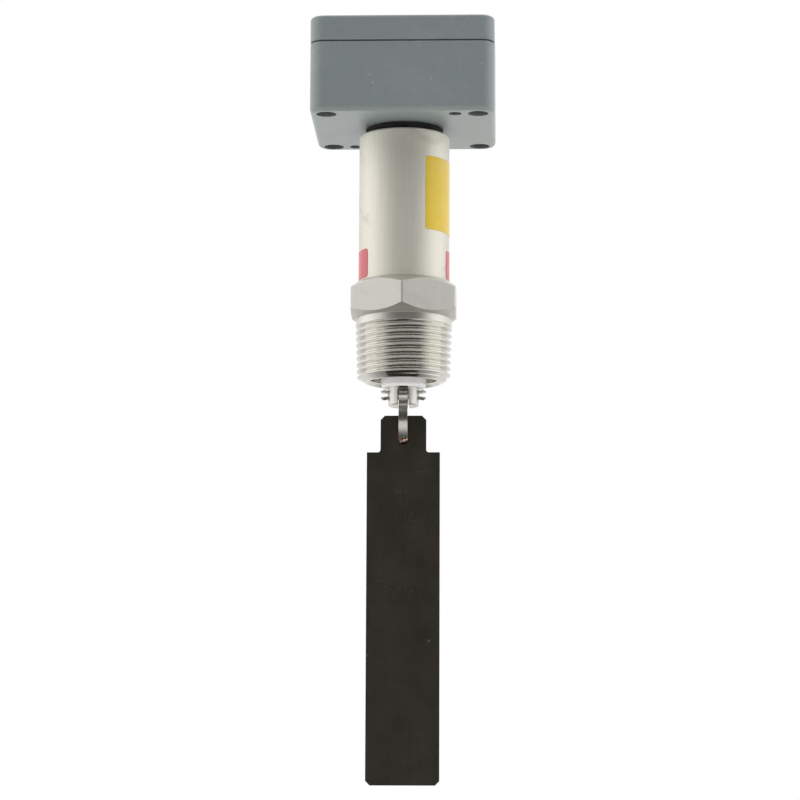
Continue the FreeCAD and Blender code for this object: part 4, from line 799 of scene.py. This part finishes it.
def label_grid(node, start, span, sizes):
    """A label as rings along its length. Each ring is a rectangle across the foil whose half height is that
    of the label, less r - sqrt(r^2 - d^2) where the ring lies d inside the corner's circle of radius r."""
    low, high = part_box(node)
    radius, centre = TUBE_HIGH.x, middle(node).z
    corner, reach = sizes.corner, (high.z - low.z) / 2
    turn = corner / radius
    swing = np.linspace(0, math.pi / 2, 9)
    inwards = corner * (1 - np.cos(swing)) / radius
    between = np.linspace(turn, span - turn, 90)[1:-1]
    angles = np.concatenate([inwards, between, span - inwards[::-1]])
    inside = np.clip(corner - np.minimum(angles, span - angles) * radius, 0, corner)
    half = reach - corner + np.sqrt(np.maximum(corner ** 2 - inside ** 2, 0))
    levels = np.stack([centre - half, centre + half, centre + half, centre - half], axis=1)
    outer, inner = radius + sizes.thickness, radius + sizes.glue
    radii = np.array([outer, outer, inner, inner])[None, :]
    turned = (start + angles)[:, None]
    return np.stack([radii * np.cos(turned), radii * np.sin(turned), levels], axis=-1)


class FLOWSWITCH_OT_labels(bpy.types.Operator):
    """Yellow and red foil labels, left bare."""

    bl_idname = "flowswitch.labels"
    bl_label = "Labels"

    def execute(self, context):
        sizes = context.scene.flow_switch_labels
        labels = (("yellow", sizes.yellow_start, sizes.yellow_span, colours().yellow, (0.35, 0.26, 0.03)),
                  ("red", sizes.red_start, sizes.red_span, colours().red, (0.18, 0.03, 0.035)))
        for name, start, span, tint, edge in labels:
            grid = label_grid(f"{name}_label", start, span, sizes)
            piece = ring_body(f"{name}_foil_label", grid, False, 30)
            settle(piece, "stem", foil(f"{name.title()} foil", tint, edge), f"{name}_foil", f"{name}_label")
        return {"FINISHED"}


def scribed_text(body, height):
    """A numeral as a flat mesh one unit deep, its middle at zero and its foot on z = 0, facing -Y."""
    height_share = 0.7  # height of the font's numerals over the size of its letters
    text = bpy.data.curves.new("numeral", "FONT")
    text.body = body
    text.size = height / height_share
    text.align_x = "CENTER"
    text.extrude = 0.5
    shape = placed("numeral", text)
    bpy.context.view_layer.update()
    mesh = bpy.data.meshes.new_from_object(shape)
    bpy.data.objects.remove(shape)
    points = np.empty(len(mesh.vertices) * 3)
    mesh.vertices.foreach_get("co", points)
    x, y, z = points.reshape(-1, 3).T
    return np.stack([x, -z, y], axis=1), [list(face.vertices) for face in mesh.polygons]


def bar(width, height):
    """A flat bar about the origin: the eight corners of width by height, one unit deep along Y."""
    side = np.array([-0.5, 0.5])
    x, y, z = np.meshgrid(side * width, side, side * height, indexing="ij")
    points = np.stack([x, y, z], axis=-1).reshape(-1, 3)
    faces = [[0, 1, 3, 2], [4, 6, 7, 5], [0, 4, 5, 1], [2, 3, 7, 6], [0, 2, 6, 4], [1, 5, 7, 3]]
    return points, faces


class FLOWSWITCH_OT_marks(bpy.types.Operator):
    """Scribed trim lines with the pipe size that each is for."""

    bl_idname = "flowswitch.marks"
    bl_label = "Trim marks"

    def execute(self, context):
        sizes = context.scene.flow_switch_marks
        middle_of_burr = PADDLE_LOW.y - sizes.relief / 2
        points, faces, count = [], [], 0
        for here, body in zip(sizes.levels, ("1", "1 1/2", "2", "2 1/2")):
            text, text_faces = scribed_text(body, sizes.numeral_height)
            rule, rule_faces = bar(np.ptp(text[:, 0]) + sizes.line_margin, sizes.line_width)
            for part, part_faces, lift in ((text, text_faces, sizes.numeral_gap), (rule, rule_faces, 0.0)):
                points.append(part * (1, sizes.relief, 1) + (0, middle_of_burr, here + lift))
                faces += [[count + corner for corner in face] for face in part_faces]
                count += len(part)
        mesh = bpy.data.meshes.new("trim_marks")
        mesh.from_pydata(np.concatenate(points).tolist(), [], faces)
        settle(placed("trim_marks", mesh), "paddle_arm", engraving(), "paddle_steel")
        return {"FINISHED"}


class FLOWSWITCH_OT_enclosure(bpy.types.Operator):
    """Finishes of the wiring box, its lid, seal, screws and terminals."""

    bl_idname = "flowswitch.enclosure"
    bl_label = "Wiring box"

    def execute(self, context):
        tints = colours()
        dress(powder_coat(), "enclosure_base", "enclosure_lid")
        dress(moulded("Lid seal", tints.rubber, 0.6), "lid_gasket")
        plated = turned_steel("Plated screws", tints.plated, 3000.0, (0.25, 0.42))
        dress(plated, "lid_screws", "terminal_screws", "block_screws", "earth_washer", "earth_screw")
        dress(moulded("Terminal moulding", tints.block, 0.45), "terminal_block")
        dress(turned_steel("Terminal brass", tints.brass, 3500.0, (0.22, 0.38)), "terminal_sleeves")
        return {"FINISHED"}


class FLOWSWITCH_OT_gland(bpy.types.Operator):
    """Finishes of the cable gland, its tool marks turned round its own axis."""

    bl_idname = "flowswitch.gland"
    bl_label = "Cable gland"

    def execute(self, context):
        tints = colours()
        axis, turn = (0.0, 0.0, middle("gland_nut").z), (math.pi / 2, 0.0, 0.0)
        nickel = turned_steel("Gland nickel", tints.nickel, 3800.0, (0.16, 0.3), axis, turn)
        dress(nickel, "gland_body", "gland_lock_nut", "gland_nut")
        dress(moulded("Gland seal", tints.rubber, 0.55), "gland_washer", "gland_seal")
        return {"FINISHED"}


class FLOWSWITCH_OT_stem(bpy.types.Operator):
    """Finishes of the stem tube, its plug, gasket, washer and lock nut."""

    bl_idname = "flowswitch.stem"
    bl_label = "Stem"

    def execute(self, context):
        tints = colours()
        dress(drawn_steel(), "stem_tube")
        dress(turned_steel("Turned plug"), "tube_cap", "lock_washer", "lock_nut")
        dress(moulded("Stem gasket", tints.rubber, 0.75, dirt=0.02), "tube_gasket")
        return {"FINISHED"}


class FLOWSWITCH_OT_pivot(bpy.types.Operator):
    """Finishes of the guide bush, clevis, pivot pin, lever, braze and paddle."""

    bl_idname = "flowswitch.pivot"
    bl_label = "Pivot and paddle"

    def execute(self, context):
        tints = colours()
        dress(moulded("White bush", tints.bush, 0.38, 1500.0, 0.05), "guide_bush")
        dress(turned_steel("Clevis steel", tints.turned, 5200.0, (0.3, 0.44), brushed=0.7), "clevis")
        axis, turn = (0.0, 0.0, middle("pivot_pin").z), (0.0, math.pi / 2, 0.0)
        dress(turned_steel("Pin steel", tints.plated, 5200.0, (0.2, 0.34), axis, turn), "pivot_pin")
        dress(turned_steel("Lever steel", tints.turned, 3600.0, (0.18, 0.32), axis, turn), "lever")
        dress(brazed_copper(), "braze_fillet")
        dress(oxidised_sheet(), "paddle")
        return {"FINISHED"}


def spring_grid(sizes):
    """The wire as rings along a right-handed helix: at angle a the middle of a ring lies at the mean radius
    and rises by pitch * a / 2 pi. Each ring is a circle in the outward direction and across the wire."""
    wire = sizes.wire_radius
    mean, bottom, top = SPRING_HIGH.x - wire, SPRING_LOW.z + wire, SPRING_HIGH.z - wire
    angles = np.linspace(0.0, math.tau * sizes.turns, int(sizes.turns * sizes.rings_per_turn) + 1)[:, None]
    sine, cosine = np.sin(angles), np.cos(angles)
    lean = math.atan2((top - bottom) / sizes.turns, math.tau * mean)
    around = np.linspace(0.0, math.tau, 16, endpoint=False)[None, :]
    out, across = wire * np.cos(around), wire * np.sin(around)
    x = (mean + out) * cosine + across * math.sin(lean) * sine
    y = (mean + out) * sine - across * math.sin(lean) * cosine
    z = bottom + (top - bottom) * angles / angles[-1] + across * math.cos(lean)
    return np.stack((x, y, z), axis=-1)


class FLOWSWITCH_OT_spring(bpy.types.Operator):
    """Return spring between the magnet holder and the guide tube's closed end."""

    bl_idname = "flowswitch.spring"
    bl_label = "Return spring"

    def execute(self, context):
        spring = ring_body("coil_spring", spring_grid(context.scene.flow_switch_spring), False, 40)
        spring.data.materials.append(turned_steel("Spring wire", colours().plated, 2600.0, (0.16, 0.28)))
        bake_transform(spring)
        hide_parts("return_spring")
        return {"FINISHED"}


class FLOWSWITCH_OT_switching(bpy.types.Operator):
    """Finishes of the guide tube, push rod, magnet, reed switch and leads."""

    bl_idname = "flowswitch.switching"
    bl_label = "Switching gear"

    def execute(self, context):
        tints = colours()
        bright = turned_steel("Guide tube steel", tints.turned, 4800.0, (0.2, 0.34))
        dress(bright, "guide_tube", "push_rod", "ring_nut")
        fine = turned_steel("Fine plating", tints.plated, 2600.0, (0.16, 0.28))
        dress(fine, "carrier_screw", "reed_blades")
        dress(turned_steel("Holder brass", tints.brass, 4200.0, (0.22, 0.38)), "magnet_holder")
        dress(turned_steel("Magnet", tints.magnet, 1800.0, (0.4, 0.6)), "magnet")
        dress(moulded("O-ring rubber", tints.rubber, 0.45), "guide_tube_o_ring")
        dress(moulded("Carrier moulding", tints.carrier, 0.4), "reed_carrier")
        dress(reed_glass(), "reed_switch")
        dress(moulded("Brown insulation", tints.brown, 0.4, 900.0, 0.1), "brown_lead")
        dress(moulded("Blue insulation", tints.blue, 0.4, 900.0, 0.1), "blue_lead")
        return {"FINISHED"}


# Stage ---------------------------------------------------------------------------------------------

def camera_frame(settings):
    """The camera's right, up and back directions: back points from the target to the camera by azimuth and
    elevation, right is level, and both right and up are turned about back by the roll."""
    azimuth, elevation = settings.azimuth, settings.elevation
    back = Vector((math.sin(azimuth) * math.cos(elevation), -math.cos(azimuth) * math.cos(elevation),
                   math.sin(elevation)))
    right = Vector((0, 0, 1)).cross(back).normalized()
    up = back.cross(right)
    cos, sin = math.cos(settings.roll), math.sin(settings.roll)
    return cos * right + sin * up, cos * up - sin * right, back


def studio_world(settings):
    """White surroundings, brighter overhead and dark behind the camera. The camera sees plain white."""
    world = bpy.data.worlds.new("Studio")
    world.use_nodes = True
    tree = Tree(world.node_tree)
    shader = world.node_tree.nodes["Background"]
    direction = tree.place("ShaderNodeTexCoord").outputs["Generated"]
    heart = (math.sin(settings.dark_turn), -math.cos(settings.dark_turn), 0.0)
    edge = math.cos(settings.dark_reach)
    towards = tree.vector("DOT_PRODUCT", direction, heart)
    level_light = tree.span(towards, edge - 0.16, edge + 0.12, settings.surround, settings.dark_side)
    top_light = tree.span(tree.level(direction), 0.5, 0.75, 0.0, settings.overhead - settings.surround)
    seen = tree.place("ShaderNodeLightPath").outputs["Is Camera Ray"]
    strength = tree.choose(seen, tree.math("ADD", level_light, top_light), 1.0)
    world.node_tree.links.new(strength, shader.inputs["Strength"])
    shader.inputs["Color"].default_value = (1.0, 1.0, 1.0, 1.0)
    return world


def soft_light(name, place, width, height, power):
    """A rectangular light that faces the origin."""
    data = bpy.data.lights.new(name, "AREA")
    data.shape = "RECTANGLE"
    data.size, data.size_y = width, height
    data.energy = power
    lamp = placed(name, data)
    turn = (-Vector(place)).to_track_quat("-Z", "Y").to_matrix().to_4x4()
    lamp.matrix_world = Matrix.Translation(place) @ turn


def pale_floor(settings):
    """A wide pale floor with a painted shade near its middle, seen only in reflections, as under a hanging
    object.
    """
    half = settings.floor_width / 2
    corners = [(x * half, y * half, settings.floor_level) for x, y in ((-1, -1), (1, -1), (1, 1), (-1, 1))]
    mesh = bpy.data.meshes.new("studio_floor")
    mesh.from_pydata(corners, [], [(0, 1, 2, 3)])
    made = Finish("Pale floor", settings.floor)
    made.shade(made.noise(made.point, 30.0, 3.0), 0.985, 1.01)
    away = made.vector("LENGTH", made.vector("MULTIPLY", made.point, (1.0, 1.0, 0.0)))
    shade = made.span(away, settings.shade_start, settings.shade_end, settings.shade, 1.0)
    # painted shade: the floor's middle is darkened in reflections only
    mirrored = made.place("ShaderNodeLightPath").outputs["Is Glossy Ray"]
    made.colour = made.darken(made.colour, made.choose(mirrored, 1.0, shade))
    mesh.materials.append(made.close(Roughness=0.7))
    placed("studio_floor", mesh)


class FLOWSWITCH_OT_stage(bpy.types.Operator):
    """Camera, pale floor, white surroundings and soft side lights."""

    bl_idname = "flowswitch.stage"
    bl_label = "Stage"

    def execute(self, context):
        settings = context.scene.flow_switch_stage
        right, up, back = camera_frame(settings)
        place = Vector(settings.aim) + back * settings.distance
        data = bpy.data.cameras.new("Camera")
        data.lens, data.sensor_width = settings.lens, 36.0
        data.clip_start, data.clip_end = 0.01, 50.0
        camera = placed("Camera", data)
        axes = Matrix((right, up, back)).transposed().to_4x4()
        camera.matrix_world = Matrix.Translation(place) @ axes
        context.scene.camera = camera
        context.scene.world = studio_world(settings)
        context.scene.view_settings.view_transform = "Standard"
        pale_floor(settings)
        for side in (-1, 1):
            soft_light(f"side_light_{side}", (side * 0.8, 0.1, 0.2), 0.7, 1.2, settings.side_power)
        return {"FINISHED"}


OPERATORS = (FLOWSWITCH_OT_enclosure, FLOWSWITCH_OT_gland, FLOWSWITCH_OT_stem, FLOWSWITCH_OT_fitting,
             FLOWSWITCH_OT_labels, FLOWSWITCH_OT_pivot, FLOWSWITCH_OT_marks, FLOWSWITCH_OT_spring,
             FLOWSWITCH_OT_switching, FLOWSWITCH_OT_stage)
SETTINGS = (("flow_switch_fitting", FittingSizes), ("flow_switch_labels", LabelSizes),
            ("flow_switch_marks", MarkSizes), ("flow_switch_spring", SpringSizes),
            ("flow_switch_finish", FinishColours), ("flow_switch_stage", StageSettings))


class FLOWSWITCH_PT_pieces(bpy.types.Panel):
    """Lists the pieces and the stage."""

    bl_idname = "FLOWSWITCH_PT_pieces"
    bl_label = "Flow switch"
    bl_space_type = "VIEW_3D"
    bl_region_type = "UI"
    bl_category = "Flow switch"

    def draw(self, context):
        for operator in OPERATORS:
            self.layout.operator(operator.bl_idname)


def register():
    """Registers the settings, operators and panel."""
    for name, kind in SETTINGS:
        bpy.utils.register_class(kind)
        setattr(bpy.types.Scene, name, PointerProperty(type=kind))
    for kind in (*OPERATORS, FLOWSWITCH_PT_pieces):
        bpy.utils.register_class(kind)


def unregister():
    """Takes them away again."""
    for kind in (FLOWSWITCH_PT_pieces, *reversed(OPERATORS)):
        bpy.utils.unregister_class(kind)
    for name, kind in reversed(SETTINGS):
        delattr(bpy.types.Scene, name)
        bpy.utils.unregister_class(kind)


def main():
    """Builds every piece."""
    register()
    for operator in OPERATORS:
        group, name = operator.bl_idname.split(".")
        getattr(getattr(bpy.ops, group), name)()


if __name__ == "__main__":
    main()
